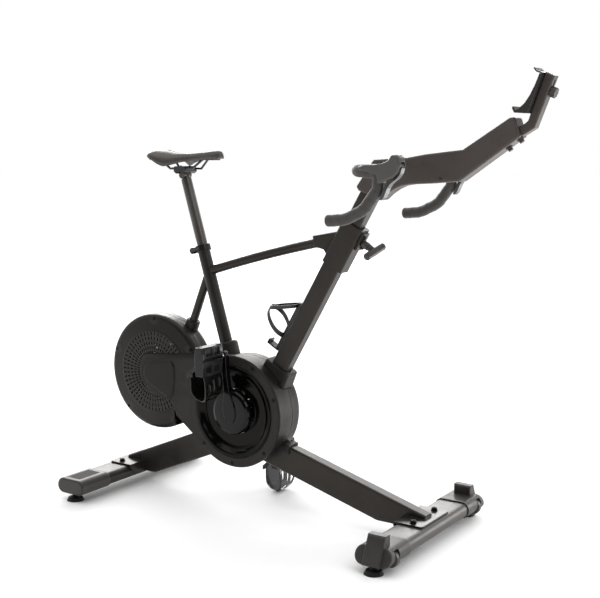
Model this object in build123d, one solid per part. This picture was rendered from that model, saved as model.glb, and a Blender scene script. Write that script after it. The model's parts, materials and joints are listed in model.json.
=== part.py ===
from build123d import *
import math
import os

# Smart indoor training bike, modelled as an assembly.  Working frame while
# modelling: crank axis at x=0, mid-plane y=0, floor z=0, +X towards the
# handlebar, +Y towards the rider's left.  Everything is shifted by ORIGIN_X at
# the end so that the part's own origin is the bottom centre of its box.

# ---------------------------------------------------------------- dimensions
ORIGIN_X = 213.6          # from the crank axis to the middle of the length
BB_Z = 295.0              # crank axis height
CRANK_L = 170.0
CRANK_DEG = 97.5          # right crank, measured from +X towards +Z
FLY_X, FLY_Z = -318.4, 375.4      # flywheel axis
R_FRONT = 166.7           # front housing, outer radius
R_REAR = 179.0            # rear housing, outer radius
Y_FRONT_R, Y_FRONT_L = -72.0, 58.0
Y_REAR_R, Y_REAR_L = -55.0, 28.0
WALL = 3.0
BELT_Y0, BELT_Y1 = -50.0, -37.0
R_CRANK_PULLEY, R_SMALL_PULLEY = 105.0, 21.0
SEAT_TAN = 0.3019         # seat tube lean, rearward run per unit of height
SEAT_REF = (-77.9, 487.5)
SEAT_TUBE_D, POST_D = 38.0, 31.6
COL_LEAN = 30.0           # column lean from the vertical, forward
COL_REF = (222.5, 600.0)
COL_DEEP, COL_WIDE, COL_WALL = 54.0, 40.0, 2.5
LEG_W, LEG_H, LEG_WALL = 40.0, 80.0, 2.5
FRONT_TAN, REAR_TAN = -0.2792, 0.4163
STAB_X_F, STAB_X_R = 592.0, -452.0
STAB_W, STAB_H, STAB_Z0 = 100.0, 40.0, 26.0
STAB_HALF = 230.0
CAP_IN, CAP_OUT = 172.0, 293.0
FOOT_Y, FOOT_R = 270.0, 26.0
BAR_X, BAR_Z, BAR_HALF = 480.0, 1003.0, 205.0
PEDAL_Y0, PEDAL_Y1 = 105.0, 201.0

os.makedirs("parts", exist_ok=True)
NODES = {}


# ------------------------------------------------------------------- helpers
def put(name, *shapes):
    """Register one node; it may be several separate solids."""
    solids = []
    for s in shapes:
        for q in s.solids():
            solids.append(q)
    NODES[name] = solids


def box(x0, x1, y0, y1, z0, z1):
    return Pos((x0 + x1) / 2, (y0 + y1) / 2, (z0 + z1) / 2) * Box(abs(x1 - x0), abs(y1 - y0), abs(z1 - z0))


def cyl_y(x, z, r, y0, y1):
    return Pos(x, (y0 + y1) / 2, z) * Rot(90, 0, 0) * Cylinder(r, abs(y1 - y0))


def cyl_z(x, y, r, z0, z1):
    return Pos(x, y, (z0 + z1) / 2) * Cylinder(r, abs(z1 - z0))


def cone_z(x, y, r0, r1, z0, z1):
    return Pos(x, y, (z0 + z1) / 2) * Cone(r0, r1, abs(z1 - z0))


def rod(p, q, r):
    v = Vector(*q) - Vector(*p)
    return Plane(origin=p, z_dir=v) * Pos(0, 0, v.length / 2) * Cylinder(r, v.length)


def tube(p, q, ro, ri):
    v = (Vector(*q) - Vector(*p)).normalized()
    a, b = Vector(*p) - v * 1.0, Vector(*q) + v * 1.0
    return rod(p, q, ro) - rod(tuple(a), tuple(b), ri)


def face_xz(pts, y, r=0.0):
    f = Face(Wire.make_polygon([Vector(x, y, z) for x, z in pts], close=True))
    if r:
        f = f.fillet_2d(r, f.vertices())
    return f


def slab(pts, y0, y1, r=0.0):
    return Part() + Solid.extrude(face_xz(pts, y0, r), Vector(0, y1 - y0, 0))


def slab_yz(pts, x0, x1):
    f = Face(Wire.make_polygon([Vector(x0, y, z) for y, z in pts], close=True))
    return Part() + Solid.extrude(f, Vector(x1 - x0, 0, 0))


def turn_y(profile, x, z):
    """Solid of revolution about the Y line through (x, z); profile is (r, y)."""
    f = Face(Wire.make_polygon([Vector(x + r, y, z) for r, y in profile], close=True))
    return Part() + revolve(f, axis=Axis((x, 0, z), (0, 1, 0)), revolution_arc=360)


def soften(shape, picker, radii):
    """Fillet the picked edges with the first radius that works."""
    for r in radii:
        try:
            out = fillet(picker(shape), r)
            if out.is_valid and out.volume > 0:
                return out
        except Exception:
            pass
    return shape


def arc_pts(cx, cz, r, a0, a1, n):
    return [(cx + r * math.cos(math.radians(a0 + (a1 - a0) * i / n)),
             cz + r * math.sin(math.radians(a0 + (a1 - a0) * i / n))) for i in range(n + 1)]


def mirror_y(shape):
    return mirror(shape, about=Plane.XZ)


def seat_x(z):
    return SEAT_REF[0] - SEAT_TAN * (z - SEAT_REF[1])


def seat_pt(z):
    return (seat_x(z), 0.0, z)


cl, sl = math.cos(math.radians(COL_LEAN)), math.sin(math.radians(COL_LEAN))
COL = Plane(origin=(COL_REF[0], 0, COL_REF[1]), x_dir=(cl, 0, -sl), z_dir=(sl, 0, cl))


def col_pt(t, lx=0.0, y=0.0):
    return (COL_REF[0] + sl * t + cl * lx, y, COL_REF[1] + cl * t - sl * lx)


def col_box(x0, x1, y0, y1, t0, t1, r=0.0):
    b = Pos((x0 + x1) / 2, (y0 + y1) / 2, (t0 + t1) / 2) * Box(x1 - x0, y1 - y0, t1 - t0)
    if r:
        b = fillet(b.edges().filter_by(Axis.Z), r)
    return COL * b


def front_top(x):
    return 150.3 + FRONT_TAN * (x - 350.0)


def rear_top(x):
    return 133.2 + REAR_TAN * (x + 335.0)


# ------------------------------------------------------------- base: two legs
V_F = LEG_H / math.cos(math.atan(FRONT_TAN))
V_R = LEG_H / math.cos(math.atan(REAR_TAN))
PLATE_Z0, PLATE_Z1 = STAB_Z0 + STAB_H, STAB_Z0 + STAB_H + 5.0


def leg_profile(front, inset=0.0):
    """Side profile of a leg: cut flat at 40 mm and resting on its stabilizer."""
    if front:
        xb = STAB_X_F - STAB_W / 2 + 4.0            # inner side of the flange
        xt = 350.0 + (150.3 - PLATE_Z1 - 8.0) / -FRONT_TAN
        x_cut = 350.0 + (150.3 - V_F - 40.0) / -FRONT_TAN
        return [(-60.0, front_top(-60.0)), (xt, front_top(xt)), (xt, PLATE_Z1), (xb - 5.0, PLATE_Z1),
                (xb - 5.0, 40.0), (x_cut, 40.0), (-60.0, front_top(-60.0) - V_F)]
    xb = STAB_X_R + STAB_W / 2 - 4.0
    xt = -335.0 - (133.2 - PLATE_Z1 - 8.0) / REAR_TAN
    x_cut = -335.0 - (133.2 - V_R - 40.0) / REAR_TAN
    return [(-60.1, rear_top(-60.1)), (-60.1, rear_top(-60.1) - V_R), (x_cut, 40.0), (xb + 5.0, 40.0),
            (xb + 5.0, PLATE_Z1), (xt, PLATE_Z1), (xt, rear_top(xt))]


def leg(front):
    pts = leg_profile(front)
    body = slab(pts, -LEG_W / 2, LEG_W / 2)
    body = soften(body, lambda s: [e for e in s.edges() if abs(abs(e.center().Y) - LEG_W / 2) < 0.1
                                   and e.length > 200], (6.0, 4.0, 2.0))
    # hollow: an inner prism that runs out of the crank end
    if front:
        x0, x1 = -62.0, 440.0
        inner = [(x0, front_top(x0) - 2.6), (x1, front_top(x1) - 2.6), (x1, front_top(x1) - V_F + 2.6), (x0, front_top(x0) - V_F + 2.6)]
    else:
        x0, x1 = -58.0, -340.0
        inner = [(x0, rear_top(x0) - 2.7), (x1, rear_top(x1) - 2.7), (x1, rear_top(x1) - V_R + 2.7), (x0, rear_top(x0) - V_R + 2.7)]
    body = body - slab(inner, -LEG_W / 2 + LEG_WALL, LEG_W / 2 - LEG_WALL)
    # welded bracket: top plate over the stabilizer and a flange down its inner side
    xc = STAB_X_F if front else STAB_X_R
    s = 1.0 if front else -1.0
    plate = box(xc - s * (STAB_W / 2 + 1.0), xc + s * 36.0, -80, 80, PLATE_Z0, PLATE_Z1)
    plate = fillet(plate.edges().filter_by(Axis.Z), 8.0)
    x_f = xc - s * (STAB_W / 2 + 1.0)
    flange = slab_yz([(-80, PLATE_Z1), (80, PLATE_Z1), (80, 62), (62, 38), (-62, 38), (-80, 62)], x_f, x_f + s * 5.0)
    stab = stabilizer_blank(xc, 260.0)
    bracket = (plate + flange) - stab
    for yb in (-61.8, 61.8):
        bracket = bracket - cyl_z(xc, yb, 4.5, 55, 85)
    return (body + bracket) - stab


def stabilizer_blank(xc, half):
    b = Pos(xc, 0, STAB_Z0 + STAB_H / 2) * Box(STAB_W, 2 * half, STAB_H)
    return fillet(b.edges().filter_by(Axis.Y), 19.0)


def stabilizer(xc):
    o = stabilizer_blank(xc, STAB_HALF)
    i = Pos(xc, 0, STAB_Z0 + STAB_H / 2) * Box(STAB_W - 5, 2 * STAB_HALF + 4, STAB_H - 5)
    i = fillet(i.edges().filter_by(Axis.Y), 16.5)
    t = o - i
    for yb in (-61.8, 61.8):
        t = t - cyl_z(xc, yb, 4.2, 55, 75)
    return t


put("front_leg", leg(True))
put("rear_leg", leg(False))
put("front_stabilizer", stabilizer(STAB_X_F))
put("rear_stabilizer", stabilizer(STAB_X_R))


def hex_bolt(x, y, z, r_head, h_head, r_shank, depth, washer=True):
    """Button bolt pointing down at (x, y), its head seated at z, one solid."""
    b = cyl_z(x, y, r_head * 1.25, z, z + 1.6) if washer else None
    h = cyl_z(x, y, r_head, z + (1.6 if washer else 0.0), z + 1.6 + h_head)
    h = soften(h, lambda s: s.edges().group_by(Axis.Z)[-1], (h_head * 0.45, 1.0))
    h = h - Pos(x, y, z + 1.6 + h_head - 1.2) * extrude(RegularPolygon(r_head * 0.45, 6), 3.0)
    out = h + cyl_z(x, y, r_shank, z - depth, z + 2.0)
    return out + b if b is not None else out


bolts = []
for xc in (STAB_X_F, STAB_X_R):
    for yb in (-61.8, 61.8):
        bolts.append(hex_bolt(xc, yb, PLATE_Z1, 7.6, 7.0, 4.0, 16.0))


# ------------------------------------------------------------------ end caps
WHEEL_X, WHEEL_Z = STAB_X_F + 34.0, 38.0


def end_cap(xc, sy, front):
    y0, y1 = CAP_IN, CAP_OUT
    b = Pos(xc, (y0 + y1) / 2, 46.0) * Box(STAB_W + 6.0, y1 - y0, STAB_H + 7.0)
    b = fillet(b.edges().filter_by(Axis.Y), 23.0)
    if front:
        # the outer end slopes inwards towards the top
        b = b - slab_yz([(289.0, 20.0), (266.6, 70.0), (266.6, 80.0), (320.0, 80.0), (320.0, 20.0)], xc - 70, xc + 70)
        b = soften(b, lambda s: [e for e in s.edges() if e.center().Y > 262], (4.0, 2.5, 1.2))
        # raised bumper that carries the transport wheel
        band = slab_yz([(234, 60), (234, 93), (238, 97.5), (258, 97.5), (262, 93), (292, 26), (289, 23.5), (234, 23.5)], xc - 25, xc + 27)
        band = soften(band, lambda s: [e for e in s.edges() if e.length > 20 and e.center().Z > 25
                                       and min(abs(e.center().X - xc + 25), abs(e.center().X - xc - 27)) < 0.2], (4.0, 2.5))
        b = b + band
    else:
        b = soften(b, lambda s: s.faces().sort_by(Axis.Y)[-1].edges(), (6.0, 4.0, 2.0))
    # socket over the tube
    sock = Pos(xc, (y0 + STAB_HALF) / 2, STAB_Z0 + STAB_H / 2) * Box(STAB_W, STAB_HALF - y0 + 0.2, STAB_H)
    sock = fillet(sock.edges().filter_by(Axis.Y), 19.0)
    sock = Pos(0, -0.05, 0) * sock
    b = b - sock
    # threaded hole for the foot
    b = b - cyl_z(xc, FOOT_Y, 6.05, 20, 60)
    if front:
        b = b - box(WHEEL_X - 26, xc + 70, 231.0, 255.0, 10, 63.0)
        b = b - cyl_y(WHEEL_X, WHEEL_Z, 4.05, 226, 262)
    b = max(b.solids(), key=lambda q: q.volume)
    if sy < 0:
        b = mirror_y(b)
    return b


put("end_caps", end_cap(STAB_X_F, -1, True), end_cap(STAB_X_F, 1, True), end_cap(STAB_X_R, -1, False), end_cap(STAB_X_R, 1, False))


def wheel(sy):
    yc = sy * 243.0
    w = turn_y([(4.08, yc - 9), (18.5, yc - 9), (22.0, yc - 5.5), (22.0, yc + 5.5), (18.5, yc + 9), (4.08, yc + 9)], WHEEL_X, WHEEL_Z)
    ring = turn_y([(9, yc - 10), (16, yc - 10), (16, yc - 7.2), (9, yc - 7.2)], WHEEL_X, WHEEL_Z)
    ring2 = turn_y([(9, yc + 10), (16, yc + 10), (16, yc + 7.2), (9, yc + 7.2)], WHEEL_X, WHEEL_Z)
    return w - ring - ring2


put("transport_wheel_right", wheel(-1))
put("transport_wheel_left", wheel(1))
wheel_pins = [cyl_y(WHEEL_X, WHEEL_Z, 4.03, -262, -226), cyl_y(WHEEL_X, WHEEL_Z, 4.03, 226, 262)]


def foot(xc, yc):
    pad = cone_z(xc, yc, FOOT_R, FOOT_R - 5.0, 0, 11.0)
    pad = soften(pad, lambda s: s.edges().group_by(Axis.Z)[-1], (3.0, 2.0))
    neck = cone_z(xc, yc, 11.0, 8.0, 11.0, 17.0)
    stem = cyl_z(xc, yc, 6.0, 16.0, 54.0)
    return pad + neck + stem


put("foot_front_right", foot(STAB_X_F, -FOOT_Y))
put("foot_front_left", foot(STAB_X_F, FOOT_Y))
put("foot_rear_right", foot(STAB_X_R, -FOOT_Y))
put("foot_rear_left", foot(STAB_X_R, FOOT_Y))

# --------------------------------------------------------- bottom bracket, frame
bb = cyl_y(0, BB_Z, 23.0, -34, 34)
pedestal = slab([(-22, BB_Z), (22, BB_Z), (26, 240), (-30, 240)], -16, 16)
leg_f_env = slab([(-60, front_top(-60)), (620, front_top(620)), (620, front_top(620) - V_F), (-60, front_top(-60) - V_F)], -60, 60)
bb = (bb + pedestal) - leg_f_env
bb = bb - cyl_y(0, BB_Z, 19.0, -35, 35)
bb_env = cyl_y(0, BB_Z, 23.0, -34, 34) + slab([(-22, BB_Z), (22, BB_Z), (26, 240), (-30, 240)], -16, 16)
put("bottom_bracket_shell", bb)

bearings = []
for y0 in (-33.5, 24.5):
    bearings.append(turn_y([(12.04, y0), (19.0, y0), (19.0, y0 + 9), (12.04, y0 + 9)], 0, BB_Z))

seat_tube_env = rod(seat_pt(290), seat_pt(760), SEAT_TUBE_D / 2)
seat_tube = tube(seat_pt(290), seat_pt(757), SEAT_TUBE_D / 2, POST_D / 2 + 0.05) - bb_env
seat_tube = seat_tube - box(seat_x(745) - 25, seat_x(745), -1.2, 1.2, 728, 770)
put("seat_tube", seat_tube)

# top tube, from the seat tube to the column head
TT0, TT1 = (seat_x(697) + 3, 0, 694.5), (246.0, 0, 797.5)
TT_MID = ((TT0[0] + TT1[0]) / 2 - 1.0, 0, (TT0[2] + TT1[2]) / 2 + 4.0)
TT_PATH = ThreePointArc(Vector(*TT0), Vector(*TT_MID), Vector(*TT1))


def tt_sweep(r):
    return Part() + sweep(Plane(origin=TT_PATH @ 0, z_dir=TT_PATH % 0) * Circle(r), path=TT_PATH)


top_tube = tt_sweep(13.5) - tt_sweep(11.5) - seat_tube_env
put("top_tube", top_tube)

# seat stay, from the seat tube down to the flywheel plates
def stay_pt(z):
    return (-202.4 + 0.405 * (z - 537.1), 0, z)


ST0, ST1 = stay_pt(690.0), stay_pt(500.0)
stay = tube(ST0, ST1, 12.5, 10.5) - seat_tube_env
put("seat_stay", stay)

# column tube
column = col_box(-COL_DEEP / 2, COL_DEEP / 2, -COL_WIDE / 2, COL_WIDE / 2, -430, 290, 8.0)
column = column - col_box(-COL_DEEP / 2 + COL_WALL, COL_DEEP / 2 - COL_WALL, -COL_WIDE / 2 + COL_WALL, COL_WIDE / 2 - COL_WALL, -431, 291, 5.5)
column = column - leg_f_env - bb_env - slab([(-100, 100), (-100, 230), (200, 150), (200, 100)], -60, 60)
put("column_tube", column)

# column head: sleeve with a lug for the top tube
sleeve = col_box(-30, 38, -24, 24, 159, 295, 7.0)
lug = slab([(239, 817.6), (317, 832.4), (327, 843.0), (352, 868), (372, 800), (330, 735), (280, 752), (279, 760),
            (281.5, 771), (275, 780.5), (262, 783.5), (242, 786)], -15.0, 15.0)
lug = soften(lug, lambda s: [e for e in s.edges().filter_by(Axis.Y) if e.center().X < 300], (3.0, 2.0))
lug = soften(lug, lambda s: [e for e in s.edges() if abs(abs(e.center().Y) - 15.0) < 0.05], (4.0, 2.5, 1.5))
head = sleeve + lug
head = head - col_box(-COL_DEEP / 2, COL_DEEP / 2, -COL_WIDE / 2, COL_WIDE / 2, 100, 300, 8.0)
tt_dir = TT_PATH % 1
head = head - tt_sweep(13.55) - rod(tuple(Vector(*TT1) - tt_dir * 0.5), tuple(Vector(*TT1) + tt_dir * 0.3), 13.55)
# clamp boss on the front face
boss = col_box(37, 46, -17, 17, 238, 290, 4.0)
head = head + boss
head = head - COL * Pos(40, 0, 262) * Rot(0, 90, 0) * Cylinder(6.05, 40)
column_hole = COL * Pos(26, 0, 262) * Rot(0, 90, 0) * Cylinder(6.05, 12)
NODES["column_tube"] = (column - column_hole).solids()
put("column_head", head)

# two clamp bolts above and below the handle
cb = []
for t in (247, 280):
    for y in ((-9.0,) if t == 280 else (9.0,)):
        b = Cylinder(5.5, 6.0)
        b = soften(b, lambda s: s.edges().group_by(Axis.Z)[-1], (1.5,))
        cb.append(COL * Pos(49.0, y, t) * Rot(0, 90, 0) * b)
clamp_bolts = cb

# ------------------------------------------------------------- front housing
hull_small = (-308.0, 373.0)
# outline of the belt cover: foot (lo) and face (hi), crank-axis millimetres
NOSE_LO = [(-340, 434), (-352, 431), (-361, 424), (-365.5, 413), (-366, 400), (-366, 372), (-362, 352), (-350, 333), (-333, 317), (-312, 306),
           (-288, 299), (-262, 296), (-247, 292), (-236, 283), (-229, 268), (-222, 250)]
NOSE_HI = [(-335, 418.5), (-344.5, 416), (-352, 410), (-356.3, 402), (-357, 393), (-357, 374), (-354, 355), (-343.5, 338), (-328, 323.5), (-309, 313),
           (-287, 306), (-261, 303), (-243, 299), (-230, 289), (-222, 272), (-214.5, 254.5)]


def cover_outline(nose, r):
    """The nose joined to the drum by lines that touch a circle of radius r."""
    out = []
    for (x, z), side in ((nose[0], -1.0), (nose[-1], 1.0)):
        base = math.atan2(z - BB_Z, x)
        if base < 0:
            base += 2 * math.pi
        off = math.acos(r / math.hypot(x, z - BB_Z))
        out.append((r * math.cos(base + side * off), BB_Z + r * math.sin(base + side * off)))
    return [out[0]] + list(nose) + [out[1], (0.0, BB_Z)]


def inset(pts, d):
    """Polygon moved inwards by d, vertex by vertex."""
    n = len(pts)
    area = sum(pts[i][0] * pts[(i + 1) % n][1] - pts[(i + 1) % n][0] * pts[i][1] for i in range(n))
    sgn = 1.0 if area > 0 else -1.0
    out = []
    for i in range(n):
        (x0, z0), (x1, z1), (x2, z2) = pts[i - 1], pts[i], pts[(i + 1) % n]
        l1, l2 = math.hypot(x1 - x0, z1 - z0), math.hypot(x2 - x1, z2 - z1)
        n1 = (-(z1 - z0) / l1 * sgn, (x1 - x0) / l1 * sgn)
        n2 = (-(z2 - z1) / l2 * sgn, (x2 - x1) / l2 * sgn)
        bx, bz = n1[0] + n2[0], n1[1] + n2[1]
        k = d * 2.0 / max(bx * bx + bz * bz, 0.5)
        out.append((x1 + bx * k, z1 + bz * k))
    return out


YS = -2.0      # parting plane between the right and left front shells


def r_front_left(y):
    return R_FRONT - 6.5 * (y + 72.0) / 102.0


drum = turn_y([(137.0, Y_FRONT_R), (R_FRONT - 4.5, Y_FRONT_R), (R_FRONT - 1.3, Y_FRONT_R + 1.3), (R_FRONT, Y_FRONT_R + 4.5), (r_front_left(YS), YS),
               (r_front_left(YS) - WALL, YS), (R_FRONT - WALL, Y_FRONT_R + 6.0), (R_FRONT - WALL - 2.5, Y_FRONT_R + WALL), (137.0, Y_FRONT_R + WALL)], 0, BB_Z)
LO, HI = cover_outline(NOSE_LO, R_FRONT - 1.0), cover_outline(NOSE_HI, R_FRONT - 5.5)
cover_blank = Part() + Solid.extrude(face_xz(LO, -34.0), Vector(0, -20.0, 0))
cover_blank = cover_blank + Solid.make_loft([face_xz(LO, -54.0).outer_wire(), face_xz(HI, Y_FRONT_R).outer_wire()], ruled=True)
inner_cover = Part() + Solid.extrude(face_xz(inset(LO, 5.0), -30.0), Vector(0, -25.0, 0))
inner_cover = inner_cover + Solid.extrude(face_xz(inset(HI, 4.5), -54.0), Vector(0, -15.0, 0))
# face of the rear housing, which the cover sits on
REAR_FACE = [(0.0, Y_REAR_R), (127.0, Y_REAR_R), (129.5, Y_REAR_R + 1.0), (167.0, Y_REAR_R + 4.5), (173.5, Y_REAR_R + 7.0), (177.3, Y_REAR_R + 11.0), (R_REAR, Y_REAR_R + 16.5)]
rear_env = turn_y([(0.0, Y_REAR_R - 0.2)] + [(r + (0.4 if r > 100 else 0.0), y - 0.2) for r, y in REAR_FACE[1:]] + [(R_REAR + 0.4, Y_REAR_L + 40), (0.0, Y_REAR_L + 40)], FLY_X, FLY_Z)


def belt_panel():
    """Raised access panel over the flywheel hub."""
    sx, sz = hull_small
    pts = arc_pts(sx, sz, 35.0, 98.0, 228.0, 16)
    pts += [(-252, 308), (-238, 308), (-228, 319), (-220, 364), (-221, 405), (-233, 420.5)]
    lo = face_xz(pts, Y_FRONT_R + 0.5)
    f = Part() + Solid.extrude(lo, Vector(0, -3.5, 0))
    return soften(f, lambda s: s.faces().sort_by(Axis.Y)[0].edges(), (2.0, 1.0, 0.6))


cover = cover_blank - inner_cover - cyl_y(0, BB_Z, R_FRONT - 6.0, -80, 0) - rear_env
cover = max(cover.solids(), key=lambda q: q.volume)
front_right = drum + cover + belt_panel()

prof_l = [(0, YS + 0.2), (r_front_left(YS), YS + 0.2), (r_front_left(30.0), 30.0)]
for k in range(1, 8):
    a = math.radians(90.0 * k / 7)
    prof_l.append((r_front_left(30.0) - 28.0 + 28.0 * math.cos(a), 30.0 + 28.0 * math.sin(a)))
prof_l.append((0, Y_FRONT_L))
left_solid = turn_y(prof_l, 0, BB_Z)
inner_l = [(0, YS - 1), (r_front_left(YS) - WALL, YS - 1), (r_front_left(30.0) - WALL, 30.0)]
for k in range(1, 8):
    a = math.radians(90.0 * k / 7)
    inner_l.append((r_front_left(30.0) - 28.0 + 25.0 * math.cos(a), 30.0 + 25.0 * math.sin(a)))
inner_l.append((0, Y_FRONT_L - WALL))
front_left = left_solid - turn_y(inner_l, 0, BB_Z)
front_left = front_left - cyl_y(0, BB_Z, 118.0, 50, 70)
front_left = front_left - rear_env

# openings for the frame tubes
tube_holes = rod(seat_pt(330), seat_pt(560), SEAT_TUBE_D / 2 + 0.6) \
    + col_box(-COL_DEEP / 2 - 0.6, COL_DEEP / 2 + 0.6, -COL_WIDE / 2 - 0.6, COL_WIDE / 2 + 0.6, -330, -100, 8.0) \
    + slab([(-58, front_top(-58) + 0.6), (400, front_top(400) + 0.6), (400, front_top(400) - V_F - 0.6), (-58, front_top(-58) - V_F - 0.6)], -20.6, 20.6) \
    + slab([(-62, rear_top(-62) + 0.6), (-340, rear_top(-340) + 0.6), (-340, rear_top(-340) - V_R - 0.6), (-62, rear_top(-62) - V_R - 0.6)], -20.6, 20.6)
plate_slot = slab([(-120, 285), (-120, 380), (-220, 400), (-220, 310)], -33.6, -28.4) + slab([(-120, 285), (-120, 380), (-220, 400), (-220, 310)], 16.4, 21.6)
belt_slot = slab([(-118, 200), (-118, 430), (-200, 430), (-200, 200)], -54.0, -33.9)
put("front_housing_right", front_right - tube_holes - plate_slot - belt_slot)
put("front_housing_left", front_left - tube_holes - plate_slot)

# dished gloss covers round the crank
dish = turn_y([(136.4, -69.0), (136.4, -73.0), (134.5, -75.0), (129.0, -75.4), (124.0, -73.0), (119.0, -66.5), (113.5, -61.0),
               (109.5, -59.6), (108.6, -57.2), (104.5, -56.4), (72.0, -55.8), (69.4, -57.0), (68.2, -57.0), (68.2, -53.6),
               (104.6, -54.0), (110.6, -55.0), (116.0, -59.2), (121.2, -64.6), (126.0, -69.0)], 0, BB_Z)
dish_l = turn_y([(117.4, 55.0), (117.4, 59.0), (115.5, 60.6), (110.0, 61.0), (105.0, 58.8), (99.0, 52.0), (94.0, 48.2), (72.0, 47.4),
                 (69.4, 48.4), (68.2, 48.4), (68.2, 45.2), (94.6, 45.8), (101.0, 49.4), (107.0, 55.0)], 0, BB_Z)
put("dish_covers", dish, dish_l)

# collars where the tubes enter the housings
seat_boot = rod(seat_pt(430), seat_pt(486), 33.5)
seat_boot = soften(seat_boot, lambda s: s.edges().group_by(Axis.Z)[-1], (10.0, 8.0, 4.0, 2.0))
seat_boot = seat_boot - rod(seat_pt(420), seat_pt(500), SEAT_TUBE_D / 2 + 0.1)
front_env = turn_y([(0, Y_FRONT_R - 5), (R_FRONT, Y_FRONT_R - 5), (R_FRONT, Y_FRONT_R + 4.5), (r_front_left(30.0), 30.0)] +
                   [(r_front_left(30.0) - 28.0 + 28.0 * math.cos(math.radians(90 * k / 7)), 30.0 + 28.0 * math.sin(math.radians(90 * k / 7))) for k in range(1, 8)] + [(0, Y_FRONT_L)], 0, BB_Z)
boots = [seat_boot - front_env]
BOOT_T = -190.0


def boot_ring(x0, x1, hw, t, r):
    """Rounded rectangle across the column at t, as a wire."""
    face = Pos((x0 + x1) / 2, 0, t) * RectangleRounded(x1 - x0, 2 * hw, r)
    return (COL * face).faces()[0].outer_wire()


col_boot = Part() + Solid.make_loft([boot_ring(-45, 42, 31, BOOT_T, 12), boot_ring(-49, 54, 35, BOOT_T - 90, 14)], ruled=True)
col_boot = soften(col_boot, lambda s: s.faces().sort_by(Axis((0, 0, 0), (sl, 0, cl)))[-1].edges(), (3.5, 2.0, 1.0))
col_boot = col_boot - col_box(-27.1, 27.1, -20.1, 20.1, -330, -150, 8.0) - front_env
col_boot = max(col_boot.solids(), key=lambda q: (q.center().Z))
boots.append(col_boot)
stay_boot = rod(stay_pt(485.0), stay_pt(541.0), 21.0)
stay_boot = soften(stay_boot, lambda s: s.edges().group_by(Axis.Z)[-1], (4.0, 2.0)) - rod(stay_pt(475.0), stay_pt(568.0), 12.6)
stay_boot = stay_boot - cyl_y(FLY_X, FLY_Z, R_REAR, Y_REAR_R, Y_REAR_L)
boots.append(stay_boot)

# gasket where the front leg leaves the housing
gx0, gx1 = 150.0, 166.0
gasket = slab([(gx0, front_top(gx0) + 5), (gx1, front_top(gx1) + 5), (gx1, front_top(gx1) - 20), (gx0, front_top(gx0) - 20)], -24, 24) \
    - slab([(0, front_top(0)), (300, front_top(300)), (300, front_top(300) - V_F), (0, front_top(0) - V_F)], -20, 20) - front_env
boots.append(gasket)
put("tube_boots", *boots)

# ------------------------------------------------------------- rear housing
YRS = -14.0
prof = REAR_FACE + [(R_REAR, YRS), (0, YRS)]
rear_right = turn_y(prof, FLY_X, FLY_Z)
ip = [(0, Y_REAR_R + WALL), (126.5, Y_REAR_R + WALL), (166.5, Y_REAR_R + 4.5 + WALL), (172.0, Y_REAR_R + 9.5), (R_REAR - WALL, Y_REAR_R + 17), (R_REAR - WALL, YRS + 1), (0, YRS + 1)]
rear_right = rear_right - turn_y(ip, FLY_X, FLY_Z)
slots = []
for ra, rb in ((57, 65.5), (71, 80), (85.5, 94.5), (100, 109.5), (114.5, 124)):
    for k in range(54):
        a = 360.0 / 54 * k
        slots.append(Pos(FLY_X, Y_REAR_R, FLY_Z) * Rot(0, a, 0) * Pos((ra + rb) / 2, 0, 0) * Box(rb - ra, 12, 3.6))
rear_right = rear_right - slots
rear_right = rear_right - cyl_y(FLY_X, FLY_Z, 34.0, -60, -45)
prof = [(0, YRS + 0.2), (R_REAR, YRS + 0.2)]
for k in range(0, 8):
    a = math.radians(90.0 * k / 7)
    prof.append((R_REAR - 18.0 + 18.0 * math.cos(a), Y_REAR_L - 18.0 + 18.0 * math.sin(a)))
prof += [(0, Y_REAR_L)]
rear_left = turn_y(prof, FLY_X, FLY_Z)
ip = [(0, YRS - 1), (R_REAR - WALL, YRS - 1)]
for k in range(0, 8):
    a = math.radians(90.0 * k / 7)
    ip.append((R_REAR - 18.0 + 15.0 * math.cos(a), Y_REAR_L - 18.0 + 15.0 * math.sin(a)))
ip += [(0, Y_REAR_L - WALL)]
rear_left = rear_left - turn_y(ip, FLY_X, FLY_Z)
slots = []
for ra, rb in ((70, 82), (90, 104)):
    for k in range(24):
        slots.append(Pos(FLY_X, Y_REAR_L, FLY_Z) * Rot(0, 15.0 * k, 0) * Pos((ra + rb) / 2, 0, 0) * Box(rb - ra, 12, 4.5))
rear_left = rear_left - slots
stay_hole = rod(stay_pt(480.0), stay_pt(552.0), 12.9)
rear_plate_slot = slab([(-118, 270), (-118, 390), (-240, 420), (-240, 300)], -33.6, -28.4) + slab([(-118, 270), (-118, 390), (-240, 420), (-240, 300)], 16.4, 21.6)
rear_belt_slot = slab([(-118, 200), (-118, 430), (-240, 430), (-240, 200)], -54.0, -33.9)
front_cut = cyl_y(0, BB_Z, R_FRONT + 0.4, -120, 120)
rr = rear_right - front_cut - stay_hole - rear_plate_slot - rear_belt_slot
rl = rear_left - rear_plate_slot - front_cut - stay_hole
put("rear_housing_right", max(rr.solids(), key=lambda s: s.volume))
put("rear_housing_left", max(rl.solids(), key=lambda s: s.volume))


screws = []


def panel_screw(x, y, z):
    s = cyl_y(x, z, 3.6, y - 0.9, y + 7.0)
    hexa = Pos(x, y - 0.9, z) * Rot(90, 0, 0) * extrude(RegularPolygon(1.7, 6), 1.6, both=True)
    return s - hexa


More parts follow.
